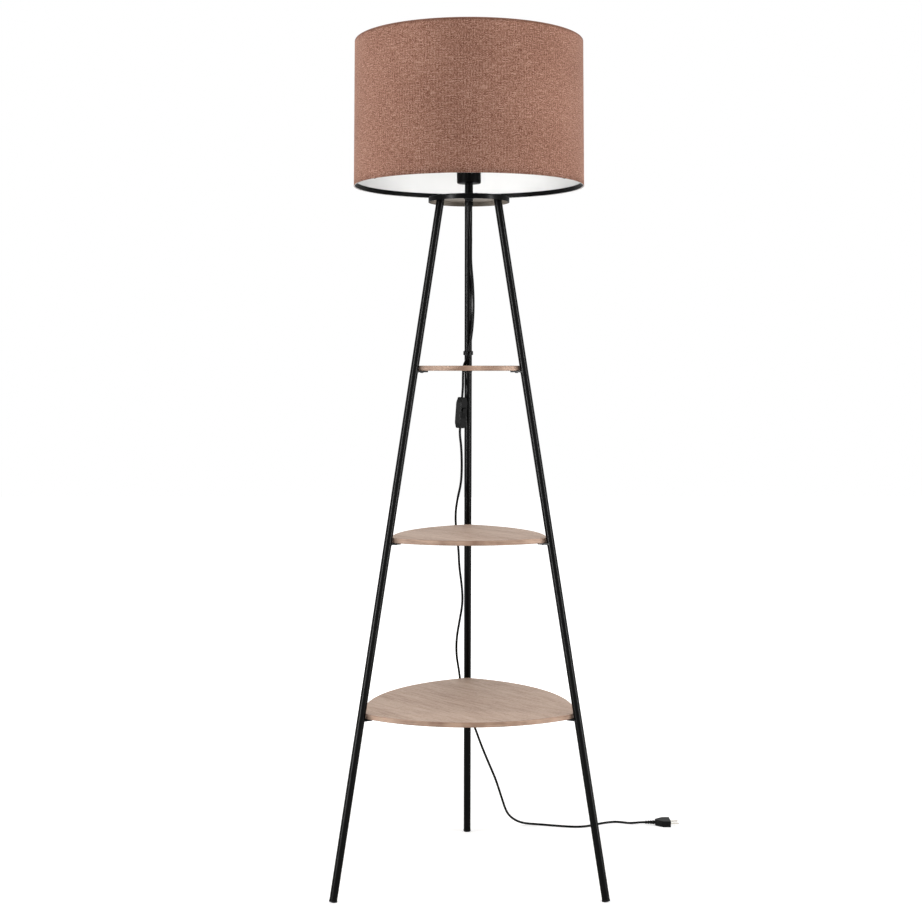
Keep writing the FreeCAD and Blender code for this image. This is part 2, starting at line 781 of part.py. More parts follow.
def make_shelf_screws():
    """Nine pan-head screws, driven up through the tabs."""
    solids = []
    head = screw_head_diameter / 2
    shank = screw_diameter / 2
    reach = screw_bite + tab_thickness
    profile = [(0, -screw_head_height), (head * 0.55, -screw_head_height),
               (head * 0.9, -screw_head_height * 0.6), (head, 0), (shank, 0), (shank, reach - shank),
               (0, reach)]
    for level in shelf_top_heights:
        for azimuth in leg_azimuths.values():
            base = tab_screw_place(level, azimuth) - V(0, 0, tab_thickness)
            screw = turned(profile, base, V(0, 0, 1))
            for angle in (0, 90):
                slot = Part.makeBox(head, screw_slot_width, screw_slot_depth + 1,
                                    V(-head / 2, -screw_slot_width / 2, -screw_head_height - 1))
                slot.Placement = FreeCAD.Placement(base, FreeCAD.Rotation(V(0, 0, 1), angle))
                screw = screw.cut(slot)
            solids.append(largest_solid(screw))
    return group(solids)


# Mains cord


def unit(vector):
    return V(vector).normalize()


def swept_cord(points, label):
    """A tube along straight runs joined by tangent arcs."""
    edges = []
    radii = []
    length = 0.0
    cursor = points[0]
    for before, point, after in zip(points, points[1:], points[2:]):
        back = unit(before - point)
        ahead = unit(after - point)
        half_turn = (math.pi - back.getAngle(ahead)) / 2
        tangent = 0.45 * min((before - point).Length, (after - point).Length)
        radius = tangent / math.tan(half_turn)
        start = point + back * tangent
        end = point + ahead * tangent
        bisector = unit(back + ahead)
        middle = point + bisector * (math.hypot(tangent, radius) - radius)
        edges.append(Part.LineSegment(cursor, start).toShape())
        edges.append(Part.Arc(start, middle, end).toShape())
        radii.append(round(radius, 1))
        length += (start - cursor).Length + radius * 2 * half_turn
        cursor = end
    edges.append(Part.LineSegment(cursor, points[-1]).toShape())
    length += (points[-1] - cursor).Length
    direction = unit(points[1] - points[0])
    section = Part.Wire(Part.makeCircle(cord_radius, points[0], direction))
    tube = Part.Wire(edges).makePipeShell([section], True, True)
    expected = math.pi * cord_radius ** 2 * length
    print(label, "length", round(length, 1), "volume ratio", round(tube.Volume / expected, 4))
    print(label, "least radius", min(radii), "radii", radii)
    return tube


def clip_run():
    """The stretch of the upper route that lies in the clip."""
    return [beside_rear_leg(*place) for place in route_in_clip]


def make_cable_clip():
    """A ring on the rear leg with an open hook for the cord."""
    start, end = clip_run()
    middle = (start + end) * 0.5
    along = unit(start - end)
    azimuth = leg_azimuths["rear"]
    lift = clip_height / 2 / math.cos(lean_angle)
    centre_on_leg = leg_axis_point(azimuth, middle.z)
    up = leg_direction(azimuth)
    ring_low = centre_on_leg - up * (clip_height / 2)
    ring = Part.makeCylinder(leg_radius + clip_wall, clip_height, ring_low, up)
    hook_inner = cord_radius + clip_hook_clearance
    hook_low = middle - along * (clip_height / 2)
    hook = Part.makeCylinder(hook_inner + clip_hook_wall, clip_height, hook_low, along)
    clip = ring.fuse(hook)
    cut_length = clip_height + 2 * clip_cut_overrun
    bore_low = ring_low - up * clip_cut_overrun
    bore = Part.makeCylinder(leg_radius + clip_leg_clearance, cut_length, bore_low, up)
    channel = Part.makeCylinder(hook_inner, cut_length, hook_low - along * clip_cut_overrun, along)
    mouth_wide = hook_inner * math.sin(math.radians(clip_mouth_angle / 2))
    mouth_deep = 2 * (hook_inner + clip_hook_wall)
    mouth = Part.makeBox(2 * mouth_wide, mouth_deep, clip_height + 4 * lift,
                         V(-mouth_wide, -mouth_deep, -2 * lift))
    mouth.Placement = FreeCAD.Placement(middle, FreeCAD.Rotation(V(0, 0, 1), along))
    return largest_solid(clip.cut(bore).cut(channel).cut(mouth))


# In-line switch. Local axes: X across, Y into the housing, Z up its length


def switch_placement():
    lean_right = math.sin(math.radians(switch_lean))
    lean_up = V(lean_right, -switch_forward_lean, math.cos(math.radians(switch_lean))).normalize()
    facing = V(math.sin(math.radians(switch_turn)), -math.cos(math.radians(switch_turn)), 0)
    inward = (facing - lean_up * facing.dot(lean_up)).normalize() * -1
    across = inward.cross(lean_up)
    rotation = FreeCAD.Rotation(across, inward, lean_up, "ZYX")
    return FreeCAD.Placement(beside_rear_leg(*switch_centre), rotation)


def switch_body(front, back, inset):
    """The housing's outline between two depths, drawn in by inset."""
    half = switch_length / 2
    wide = switch_width / 2
    narrow = switch_end_width / 2
    waist = half - switch_end_taper
    right_side = [V(narrow, front, -half), V(wide, front, -waist),
                  V(wide, front, waist), V(narrow, front, half)]
    left_side = [V(-corner.x, front, corner.z) for corner in reversed(right_side)]
    corners = right_side + left_side
    outline = Part.makePolygon(corners + corners[:1])
    if inset > 0:
        outline = outline.makeOffset2D(-inset)
    block = Part.Face(outline).extrude(V(0, back - front, 0))
    upright = [e for e in block.Edges if e.BoundBox.YLength > (back - front) / 2]
    shoulders = [e for e in upright if abs(e.CenterOfMass.z) < half - switch_end_taper * 0.5]
    tips = [e for e in upright if abs(e.CenterOfMass.z) > half - switch_end_taper * 0.5]
    block = block.makeFillet(switch_shoulder_round, shoulders)
    tip_places = [e.CenterOfMass for e in tips]
    tips = [e for e in block.Edges if min((e.CenterOfMass - place).Length for place in tip_places) < 1e-3]
    return block.makeFillet(switch_tip_round, tips)


def seam_depth():
    return -switch_thickness / 2 + switch_front_share


def soften(body, face_y):
    """Rounds the rim of the face that lies at one depth."""
    rim = [e for e in body.Edges if abs(e.CenterOfMass.y - face_y) < 1e-4
           and max(abs(v.Y - face_y) for v in e.Vertexes) < 1e-4]
    return body.makeFillet(switch_edge_round, rim)


def rocker_pivot_depth():
    return -switch_thickness / 2 + rocker_depth * 0.55


def make_switch_front():
    """Front shell with the rocker's window and the pin's two ears."""
    front = -switch_thickness / 2
    shell = soften(switch_body(front, seam_depth(), 0), front)
    shell = shell.cut(switch_body(front + switch_wall, seam_depth(), switch_wall))
    window_half_width = rocker_width / 2 + rocker_clearance
    window_half_length = rocker_length / 2 + rocker_end_clearance
    window = Part.makeBox(2 * window_half_width, 2 * switch_wall, 2 * window_half_length,
                          V(-window_half_width, front - switch_wall / 2, -window_half_length))
    shell = shell.cut(window)
    for side in (-1, 1):
        middle_x = side * (window_half_width + pin_ear_width / 2)
        ear = Part.makeBox(pin_ear_width, seam_depth() - front - boss_inset, pin_ear_length,
                           V(middle_x - pin_ear_width / 2, front + boss_inset, -pin_ear_length / 2))
        shell = shell.fuse(ear)
    shell = shell.cut(make_rocker_pin())
    for end in (-1, 1):
        boss_foot = V(0, front + boss_inset, end * switch_screw_offset)
        boss = Part.makeCylinder(pilot_boss_radius, seam_depth() - boss_foot.y, boss_foot, V(0, 1, 0))
        pilot_foot = V(0, front + switch_screw_tip - thread_clearance, end * switch_screw_offset)
        pilot = Part.makeCylinder(switch_screw_diameter / 2, seam_depth() - pilot_foot.y,
                                  pilot_foot, V(0, 1, 0))
        shell = shell.fuse(boss).cut(pilot)
    return largest_solid(shell.removeSplitter())


def pin_length():
    return rocker_width + 2 * rocker_clearance + 2 * pin_ear_width


def make_switch_back():
    """Back shell with two countersunk screw holes."""
    back = switch_thickness / 2
    shell = soften(switch_body(seam_depth(), back, 0), back)
    shell = shell.cut(switch_body(seam_depth(), back - switch_wall, switch_wall))
    for end in (-1, 1):
        place = V(0, seam_depth(), end * switch_screw_offset)
        boss = Part.makeCylinder(screw_boss_radius, back - seam_depth() - boss_inset, place, V(0, 1, 0))
        hole = Part.makeCylinder(switch_screw_diameter / 2 + thread_clearance, switch_thickness,
                                 place - V(0, 1, 0), V(0, 1, 0))
        sink = Part.makeCylinder(switch_screw_head / 2 + thread_clearance, 2 * switch_screw_sink,
                                 V(0, back - switch_screw_sink, end * switch_screw_offset), V(0, 1, 0))
        shell = shell.fuse(boss).cut(hole).cut(sink)
    return largest_solid(shell.removeSplitter())


def make_switch_screws():
    """Countersunk screws from the back, each with one slot."""
    seat = switch_thickness / 2 - switch_screw_sink
    tip = -switch_thickness / 2 + switch_screw_tip
    half_slot = 0.4
    solids = []
    for end in (-1, 1):
        centre_z = end * switch_screw_offset
        head = Part.makeCylinder(switch_screw_head / 2, switch_screw_head_height,
                                 V(0, seat, centre_z), V(0, 1, 0))
        shank = Part.makeCylinder(switch_screw_diameter / 2, seat - tip, V(0, tip, centre_z), V(0, 1, 0))
        slot_floor = seat + switch_screw_head_height - 2 * half_slot
        slot = Part.makeBox(switch_screw_head, switch_screw_head_height, 2 * half_slot,
                            V(-switch_screw_head / 2, slot_floor, centre_z - half_slot))
        solids.append(head.fuse(shank).cut(slot).removeSplitter().Solids[0])
    return group(solids)


def make_rocker():
    """A shallow V-faced key on a cross pin, lying at one end of its travel."""
    half = rocker_length / 2
    front = -switch_thickness / 2
    depth = rocker_pivot_depth()
    tilt = math.tan(math.radians(rocker_travel / 2))
    crest = front - rocker_crest
    side_x = -rocker_width / 2
    shoulder = depth - rocker_crest
    heel = depth + rocker_rise
    profile = [V(side_x, crest, 0), V(side_x, crest - half * tilt, half), V(side_x, shoulder, half),
               V(side_x, heel, half * 0.35), V(side_x, heel, -half * 0.35), V(side_x, shoulder, -half),
               V(side_x, crest - half * tilt, -half)]
    key = Part.Face(Part.makePolygon(profile + profile[:1])).extrude(V(rocker_width, 0, 0))
    ends = [e for e in key.Edges if e.BoundBox.XLength > rocker_width / 2 and e.CenterOfMass.y < front
            and half - abs(e.CenterOfMass.z) < 0.1]
    key = key.makeFillet(rocker_end_round, ends)
    bore = Part.makeCylinder(rocker_pin_diameter / 2 + rocker_pin_clearance, switch_width,
                             V(-switch_width / 2, depth, 0), V(1, 0, 0))
    key = key.cut(bore)
    key.rotate(V(0, depth, 0), V(1, 0, 0), rocker_travel / 2)
    return largest_solid(key)


def make_rocker_pin():
    start = V(-pin_length() / 2, rocker_pivot_depth(), 0)
    return Part.makeCylinder(rocker_pin_diameter / 2, pin_length(), start, V(1, 0, 0))


def make_switch_contacts():
    """Two terminal strips on the back shell's floor, each with a raised end."""
    floor = switch_thickness / 2 - switch_wall
    solids = []
    for end in (-1, 1):
        low = contact_strip_offset if end > 0 else -contact_strip_offset - contact_strip_length
        strip = Part.makeBox(contact_strip_width, contact_strip_thickness, contact_strip_length,
                             V(-contact_strip_width / 2, floor - contact_strip_thickness, low))
        post_z = low if end > 0 else low + contact_strip_length - contact_strip_thickness
        post = Part.makeBox(contact_strip_width, contact_post_height, contact_strip_thickness,
                            V(-contact_strip_width / 2, floor - contact_post_height, post_z))
        solids.append(strip.fuse(post).removeSplitter().Solids[0])
    return group(solids)


def placed(shape):
    moved = shape.copy()
    moved.Placement = switch_placement().multiply(moved.Placement)
    return moved


def switch_end(sign):
    """Middle of the housing's upper or lower end face."""
    return switch_placement().multVec(V(0, 0, sign * switch_length / 2))


def switch_end_clear(sign, distance):
    """A point straight out from an end face, so the cord meets it squarely."""
    return switch_placement().multVec(V(0, 0, sign * (switch_length / 2 + distance)))


# Plug


def plug_mid_height():
    return plug_thickness / 2


def plug_tail_start():
    return beside_rear_leg(plug_start[0], plug_start[1], plug_mid_height())


def make_plug_body():
    """A flat six-sided grip that narrows to the cord, with a ringed tail."""
    tail = plug_tail_start()
    nose = tail.x + plug_tail_length
    shoulder = nose + plug_length - plug_shoulder
    front = nose + plug_length
    half = plug_width / 2
    narrow = plug_nose_width / 2
    y = tail.y
    corners = [V(nose, y - narrow, 0), V(shoulder, y - half, 0), V(front, y - half, 0),
               V(front, y + half, 0), V(shoulder, y + half, 0), V(nose, y + narrow, 0)]
    grip = Part.Face(Part.makePolygon(corners + corners[:1])).extrude(V(0, 0, plug_thickness))
    sides = [e for e in grip.Edges if e.BoundBox.XMax < front - 0.1]
    grip = grip.makeFillet(plug_edge_round, sides)
    pitch = plug_tail_length / plug_tail_rings
    profile = [(0, 0)]
    for i in range(plug_tail_rings):
        start = pitch * i
        ring = plug_tail_diameter / 2 - plug_ring_growth * (plug_tail_rings - 1 - i)
        groove = ring - plug_ring_groove
        profile += [(ring - plug_ring_growth, start), (ring, start + pitch * 0.65),
                    (groove, start + pitch * 0.65), (groove, start + pitch * 0.98)]
    inside_grip = plug_tail_length + plug_pin_diameter / 2
    profile += [(groove, inside_grip), (0, inside_grip)]
    sleeve = turned(profile, tail, V(1, 0, 0))
    return largest_solid(grip.fuse(sleeve))


def make_plug_pins():
    """Two round pins with domed tips, set into the plug's face."""
    face = plug_tail_start() + V(plug_tail_length + plug_length, 0, 0)
    radius = plug_pin_diameter / 2
    solids = []
    for side in (-1, 1):
        base = face + V(0, side * plug_pin_spacing / 2, 0)
        profile = [(0, 0), (radius, 0), (radius, plug_pin_length - radius * 0.6),
                   (radius * 0.75, plug_pin_length - radius * 0.15), (radius * 0.4, plug_pin_length),
                   (0, plug_pin_length)]
        solids.append(turned(profile, base, V(1, 0, 0)))
    return group(solids)


def upper_points():
    top = bush_top() - bush_height
    points = [on_axis(0, 0, top), on_axis(0, 0, top - bush_exit_run)]
    for stretch in (route_to_clip, route_in_clip, route_to_switch):
        points += [beside_rear_leg(*place) for place in stretch]
    return points + [switch_end_clear(1, switch_exit_run), switch_end(1)]


def lower_points():
    points = [switch_end(-1), switch_end_clear(-1, switch_exit_run)]
    points += [beside_rear_leg(*place) for place in route_to_floor]
    points += [beside_rear_leg(right, ahead, cord_floor_height) for right, ahead in route_on_floor]
    tail = plug_tail_start()
    points.append(beside_rear_leg(*plug_approach_rise))
    return points + [tail - V(plug_approach_run, 0, 0), tail]


os.makedirs("parts", exist_ok=True)

for side, azimuth in leg_azimuths.items():
    save(side + "_leg", make_leg(azimuth))
    save(side + "_foot_cap", make_foot_cap(azimuth))
save("leg_top_plugs", make_leg_plugs())
save("leg_bolts", make_leg_bolts())
save("top_plate", make_top_plate())
save("stem_tube", make_stem())
save("threaded_tube", make_threaded_tube())
save("plate_nut", make_plate_nut())
save("cord_bush", make_cord_bush())
save("inner_lead", make_inner_lead())
save("socket_cup", make_socket_cup())
save("cup_nut", make_cup_nut())
save("holder_cap", make_holder_cap())
save("terminal_block", make_terminal_block())
save("holder_shell", make_holder_shell())
save("lamp_thread", make_lamp_thread())
save("centre_contact", make_centre_contact())
save("shade_fabric", make_shade_fabric())
save("shade_liner", make_shade_liner())
save("shade_bottom_ring", make_shade_bottom_ring())
save("shade_top_ring", make_shade_top_ring())
save("shade_spider", make_spider())
save("shade_clamp_ring", make_clamp_ring())
for level in shelf_top_heights:
    save(level + "_shelf", make_shelf(level))
    save(level + "_shelf_brackets", make_brackets(level))
save("shelf_screws", make_shelf_screws())
save("cable_clip", make_cable_clip())
save("cord_upper", swept_cord(upper_points(), "upper cord"))
save("cord_lower", swept_cord(lower_points(), "lower cord"))
save("switch_front", placed(make_switch_front()))
save("switch_back", placed(make_switch_back()))
save("switch_screws", placed(make_switch_screws()))
save("switch_rocker", placed(make_rocker()))
save("rocker_pin", placed(make_rocker_pin()))
save("switch_contacts", placed(make_switch_contacts()))
save("plug_body", make_plug_body())
save("plug_pins", make_plug_pins())

pivot = switch_placement().multVec(V(0, rocker_pivot_depth(), 0))
hinge = switch_placement().Rotation.multVec(V(1, 0, 0))
print("rocker pivot", pivot, "axis", hinge)
print("lamp axis y", round(axis_y, 3), "lamp thread foot", lamp_thread_foot())
print("holder top", holder_seat() + holder_shell_height)
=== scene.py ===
import bpy
import bmesh
import numpy as np
from math import radians
from mathutils import Matrix, Vector


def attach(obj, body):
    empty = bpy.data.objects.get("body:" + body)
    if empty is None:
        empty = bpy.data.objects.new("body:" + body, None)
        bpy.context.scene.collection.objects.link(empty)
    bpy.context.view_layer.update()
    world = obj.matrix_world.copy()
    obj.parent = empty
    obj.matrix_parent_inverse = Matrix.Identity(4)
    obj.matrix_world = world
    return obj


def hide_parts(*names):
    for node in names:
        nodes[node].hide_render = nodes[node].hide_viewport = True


# Shelf floor lamp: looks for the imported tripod, boards, shade, cord and plug.
# Metres, Z up, the floor at z = 0, the front towards -Y.

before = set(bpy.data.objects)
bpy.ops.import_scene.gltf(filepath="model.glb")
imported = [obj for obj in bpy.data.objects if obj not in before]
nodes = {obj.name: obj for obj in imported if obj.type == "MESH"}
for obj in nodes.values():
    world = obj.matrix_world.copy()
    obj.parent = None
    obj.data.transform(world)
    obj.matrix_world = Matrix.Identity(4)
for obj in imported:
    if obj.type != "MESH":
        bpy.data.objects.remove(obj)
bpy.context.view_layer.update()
print("frame loaded:", len(nodes), "nodes")

lampAxis = (0.0, -0.04304)  # the upright axis of plate, stem and shade


cameraView = {
    "place": (-0.03703, -3.13369, 1.03604),
    "direction": (0.0069, 0.9980454, -0.0617518),
    "lens": 60.52, "film": 36.0,  # focal length and film width in mm
}

cameraData = bpy.data.cameras.new("photoCamera")
cameraData.lens = cameraView["lens"]
cameraData.sensor_width = cameraView["film"]
cameraObject = bpy.data.objects.new("photoCamera", cameraData)
bpy.context.collection.objects.link(cameraObject)
turn = Vector(cameraView["direction"]).to_track_quat("-Z", "Y")
cameraObject.matrix_world = Matrix.Translation(cameraView["place"]) @ turn.to_matrix().to_4x4()
bpy.context.scene.camera = cameraObject
print("camera ready")


def linear(hexText):
    # sRGB hex to the linear colour that sockets take, by the sRGB curve
    parts = np.array([int(hexText[i:i + 2], 16) for i in (1, 3, 5)]) / 255.0
    light = np.where(parts <= 0.04045, parts / 12.92, ((parts + 0.055) / 1.055) ** 2.4)
    return (float(light[0]), float(light[1]), float(light[2]), 1.0)


def addNode(tree, kind, settings=None, links=None):
    # a setting goes to the input of that name or number, else to the node's own property
    node = tree.nodes.new(kind)
    for key, value in (settings or {}).items():
        if key == "stops":
            stops = node.color_ramp.elements
            while len(stops) < len(value):
                stops.new(0.5)
            for stop, (position, colour) in zip(stops, value):
                stop.position = position
                stop.color = colour
        elif isinstance(key, int) or key in node.inputs:
            node.inputs[key].default_value = value
        else:
            setattr(node, key, value)
    for key, source in (links or {}).items():
        tree.links.new(source, node.inputs[key])
    return node


def startMaterial(name, shaderSettings):
    material = bpy.data.materials.new(name)
    material.use_nodes = True
    tree = material.node_tree
    tree.nodes.clear()
    shader = addNode(tree, "ShaderNodeBsdfPrincipled", shaderSettings)
    addNode(tree, "ShaderNodeOutputMaterial", links={"Surface": shader.outputs[0]})
    material.diffuse_color = shaderSettings.get("Base Color", (0.5, 0.5, 0.5, 1.0))
    return material, tree, shader


def meshFromPatches(name, points, closedAround=False, uv=None, mergeDistance=0.0):
    # points is (patches, rows, columns, 3): each patch is a grid whose neighbours are joined by quads
    patches, rows, columns = points.shape[:3]
    index = np.arange(patches * rows * columns).reshape(patches, rows, columns)
    if closedAround:
        index = np.concatenate([index, index[:, :, :1]], axis=2)
    corners = [index[:, :-1, :-1], index[:, :-1, 1:], index[:, 1:, 1:], index[:, 1:, :-1]]
    quads = np.stack(corners, axis=-1).reshape(-1, 4)
    mesh = bpy.data.meshes.new(name)
    mesh.from_pydata(points.reshape(-1, 3).tolist(), [], quads.tolist())
    if uv is not None:
        layer = mesh.uv_layers.new(name="clothMetres")
        uvCorners = [uv[:, :-1, :-1], uv[:, :-1, 1:], uv[:, 1:, 1:], uv[:, 1:, :-1]]
        layer.data.foreach_set("uv", np.stack(uvCorners, axis=-2).reshape(-1).astype(float))
    if mergeDistance > 0:
        edit = bmesh.new()
        edit.from_mesh(mesh)
        bmesh.ops.remove_doubles(edit, verts=edit.verts, dist=mergeDistance)
        bmesh.ops.recalc_face_normals(edit, faces=edit.faces)
        edit.to_mesh(mesh)
        edit.free()
    mesh.polygons.foreach_set("use_smooth", np.ones(len(mesh.polygons), dtype=bool))
    mesh.update()
    piece = bpy.data.objects.new(name, mesh)
    bpy.context.collection.objects.link(piece)
    return piece


cordSizes = {
    "diameter": 0.005,
    "upperRoute": [
        (0.0000, -0.0430, 1.3385), (0.0000, -0.0430, 1.3250), (0.0024, -0.0352, 1.3090), (0.0050, -0.0151, 1.2910),
        (0.0044, 0.0100, 1.2670), (0.0054, 0.0275, 1.2380), (0.0092, 0.0400, 1.2020), (0.0108, 0.0500, 1.1630),
        (0.0098, 0.0549, 1.1270), (0.0066, 0.0565, 1.0960), (0.0026, 0.0588, 1.0730), (-0.0026, 0.0639, 1.0490),
        (-0.0099, 0.0735, 1.0350), (-0.0108, 0.0751, 1.0140), (-0.0108, 0.0703, 0.9930), (-0.0116, 0.0667, 0.9819),
        (-0.0125, 0.0670, 0.9699)],
    "lowerRoute": [
        (-0.0169, 0.0689, 0.9061), (-0.0178, 0.0693, 0.8941), (-0.0142, 0.0759, 0.8680), (-0.0129, 0.0885, 0.8260),
        (-0.0144, 0.0989, 0.7890), (-0.0224, 0.1099, 0.7550), (-0.0266, 0.1200, 0.7220), (-0.0246, 0.1270, 0.6840),
        (-0.0196, 0.1310, 0.6480), (-0.0184, 0.1370, 0.6100), (-0.0126, 0.1440, 0.5680), (-0.0106, 0.1499, 0.5300),
        (-0.0174, 0.1560, 0.4900), (-0.0238, 0.1639, 0.4520), (-0.0244, 0.1729, 0.4140), (-0.0184, 0.1820, 0.3770),
        (-0.0150, 0.1930, 0.3460), (-0.0136, 0.2070, 0.3210), (-0.0054, 0.2209, 0.2970), (0.0060, 0.2290, 0.2680),
        (0.0176, 0.2340, 0.2380), (0.0310, 0.2410, 0.1990), (0.0470, 0.2509, 0.1580), (0.0636, 0.2630, 0.1170),
        (0.0774, 0.2729, 0.0720), (0.0870, 0.2826, 0.0400), (0.0974, 0.2899, 0.0240), (0.1110, 0.2960, 0.0130),
        (0.1300, 0.3020, 0.0050), (0.1610, 0.3036, 0.0026), (0.2040, 0.2908, 0.0026), (0.2400, 0.2826, 0.0026),
        (0.2640, 0.2852, 0.0026), (0.2840, 0.2964, 0.0026), (0.3100, 0.3136, 0.0026), (0.3350, 0.3220, 0.0026),
        (0.3520, 0.3174, 0.0026), (0.3670, 0.3104, 0.0026), (0.3820, 0.3056, 0.0049), (0.3920, 0.3030, 0.0068),
        (0.4020, 0.3030, 0.0068)],
    "upperLength": 0.404,
    "lowerLength": 1.262,
    "roundness": 4, "smoothness": 10,  # steps round a quarter of the section, and from one point to the next
}


def cordAlong(name, route):
    # a round section carried along a quadratic NURBS curve that the route's points pull on
    curve = bpy.data.curves.new(name, "CURVE")
    curve.dimensions = "3D"
    curve.bevel_depth = 1.0  # the points' own radius gives the thickness, so that the curve's bounds are true
    curve.bevel_resolution = cordSizes["roundness"]
    curve.resolution_u = cordSizes["smoothness"]
    curve.use_fill_caps = True
    spline = curve.splines.new("NURBS")
    spline.points.add(len(route) - 1)
    spline.points.foreach_set("co", np.array([(*p, 1.0) for p in route]).reshape(-1))
    spline.points.foreach_set("radius", np.full(len(route), cordSizes["diameter"] / 2))
    spline.order_u = 3
    spline.use_endpoint_u = True
    piece = bpy.data.objects.new(name, curve)
    bpy.context.collection.objects.link(piece)
    return piece


cordUpper = cordAlong("cordUpper", cordSizes["upperRoute"])
cordLower = cordAlong("cordLower", cordSizes["lowerRoute"])
for piece, node in ((cordUpper, "cord_upper"), (cordLower, "cord_lower")):
    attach(piece, "lamp")
    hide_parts(node)
print("cords laid:", len(cordSizes["upperRoute"]) + len(cordSizes["lowerRoute"]), "points")


coatingIor = 1.5  # powder coat, plastic, varnish and laminate alike


def addNoise(tree, place, size, detail, roughness=0.5):
    # cloudy noise whose features are about one size across, in metres or in stretched units
    return addNode(tree, "ShaderNodeTexNoise", {"Scale": 1 / size, "Detail": detail, "Roughness": roughness},
                   {"Vector": place})


def addShares(tree, parts):
    # the sum of every source times its share
    (first, share), *others = parts
    total = addNode(tree, "ShaderNodeMath", {"operation": "MULTIPLY", 1: share}, {0: first.outputs[0]})
    for source, share in others:
        total = addNode(tree, "ShaderNodeMath", {"operation": "MULTIPLY_ADD", 1: share}, {
            0: source.outputs[0], 2: total.outputs[0]})
    return total


def swingRoughness(tree, shader, source, low, high):
    # the roughness follows a noise from one value to the other
    swing = addNode(tree, "ShaderNodeMapRange", {"To Min": low, "To Max": high}, {0: source.outputs[0]})
    tree.links.new(swing.outputs[0], shader.inputs["Roughness"])


def addRelief(tree, shader, height, strength, distance, sockets=("Normal",)):
    relief = addNode(tree, "ShaderNodeBump", {"Strength": strength, "Distance": distance},
                     {"Height": height.outputs[0]})
    for socket in sockets:
        tree.links.new(relief.outputs[0], shader.inputs[socket])


steelSizes = {
    "coat": "#020202", "coatDusty": "#060606", "dustFrom": 0.35, "dustTo": 0.75,
    "roughness": 0.40, "smoother": 0.05, "rougher": 0.07,  # the patches swing this far below and above the mean
    "specular": 0.01, "skin": 0.11, "skinRoughness": 0.28,  # the powder's smooth skin gives the line of light
    "peel": 0.0022,  # powder's orange peel is about 1 mm across, drawn at 2.2 mm so that it shows
    "peelStrength": 0.05, "peelDepth": 0.0001,
    "patch": 0.09,  # the dusty patches are about 90 mm across
    "inside": "#958d83", "insideAbove": 1.3600,  # the pale colour of the pan's inside, and the height of the pan's rim above it
    "insideFacing": -0.5,  # the cosine for a normal within 60 degrees of straight down, or of the axis
}


def powderCoatedSteel(name, paleInside):
    # mild steel tube and sheet, baked black powder: deep black with a soft satin line and a faint orange peel;
    # the top plate's hollow side is coloured pale beige
    material, tree, shader = startMaterial(name, {
        "Base Color": linear(steelSizes["coat"]), "Roughness": steelSizes["roughness"],
        "Specular IOR Level": steelSizes["specular"], "IOR": coatingIor, "Coat Weight": steelSizes["skin"],
        "Coat Roughness": steelSizes["skinRoughness"]})
    place = addNode(tree, "ShaderNodeTexCoord").outputs["Object"]
    patches = addNoise(tree, place, steelSizes["patch"], 3.0)
    peel = addNoise(tree, place, steelSizes["peel"], 1.0)
    tone = addNode(tree, "ShaderNodeValToRGB", {"stops": [
        (steelSizes["dustFrom"], linear(steelSizes["coat"])),
        (steelSizes["dustTo"], linear(steelSizes["coatDusty"]))]}, {0: patches.outputs[0]})
    if paleInside:
        # inside is where a face looks down, above the rim, or looks back at the axis
        normal = addNode(tree, "ShaderNodeNewGeometry").outputs["True Normal"]
        fromAxis = addNode(tree, "ShaderNodeMapping", {"Location": (-lampAxis[0], -lampAxis[1], 0.0),
                                                       "Scale": (1.0, 1.0, 0.0)}, {"Vector": place})
        ray = addNode(tree, "ShaderNodeVectorMath", {"operation": "NORMALIZE"}, {0: fromAxis.outputs[0]})
        facing = addNode(tree, "ShaderNodeVectorMath", {"operation": "DOT_PRODUCT"}, {0: ray.outputs[0], 1: normal})
        backward = addNode(tree, "ShaderNodeMath", {"operation": "LESS_THAN", 1: steelSizes["insideFacing"]},
                           {0: facing.outputs["Value"]})
        height = addNode(tree, "ShaderNodeSeparateXYZ", links={0: place}).outputs[2]
        aboveRim = addNode(tree, "ShaderNodeMath", {"operation": "GREATER_THAN", 1: steelSizes["insideAbove"]},
                           {0: height})
        tilt = addNode(tree, "ShaderNodeSeparateXYZ", links={0: normal}).outputs[2]
        downward = addNode(tree, "ShaderNodeMath", {"operation": "LESS_THAN", 1: steelSizes["insideFacing"]},
                           {0: tilt})
        ceiling = addNode(tree, "ShaderNodeMath", {"operation": "MULTIPLY"}, {
            0: aboveRim.outputs[0], 1: downward.outputs[0]})
        within = addNode(tree, "ShaderNodeMath", {"operation": "MAXIMUM"}, {
            0: ceiling.outputs[0], 1: backward.outputs[0]})
        # the pan's inside faces are coloured pale beige
        paleInsideMix = addNode(tree, "ShaderNodeMix", {"data_type": "RGBA", 7: linear(steelSizes["inside"])}, {
            0: within.outputs[0], 6: tone.outputs[0]})
        tree.links.new(paleInsideMix.outputs[2], shader.inputs["Base Color"])
    else:
        tree.links.new(tone.outputs[0], shader.inputs["Base Color"])
    swingRoughness(tree, shader, patches, steelSizes["roughness"] - steelSizes["smoother"],
                   steelSizes["roughness"] + steelSizes["rougher"])
    addRelief(tree, shader, peel, steelSizes["peelStrength"], steelSizes["peelDepth"], ("Normal", "Coat Normal"))
    return material


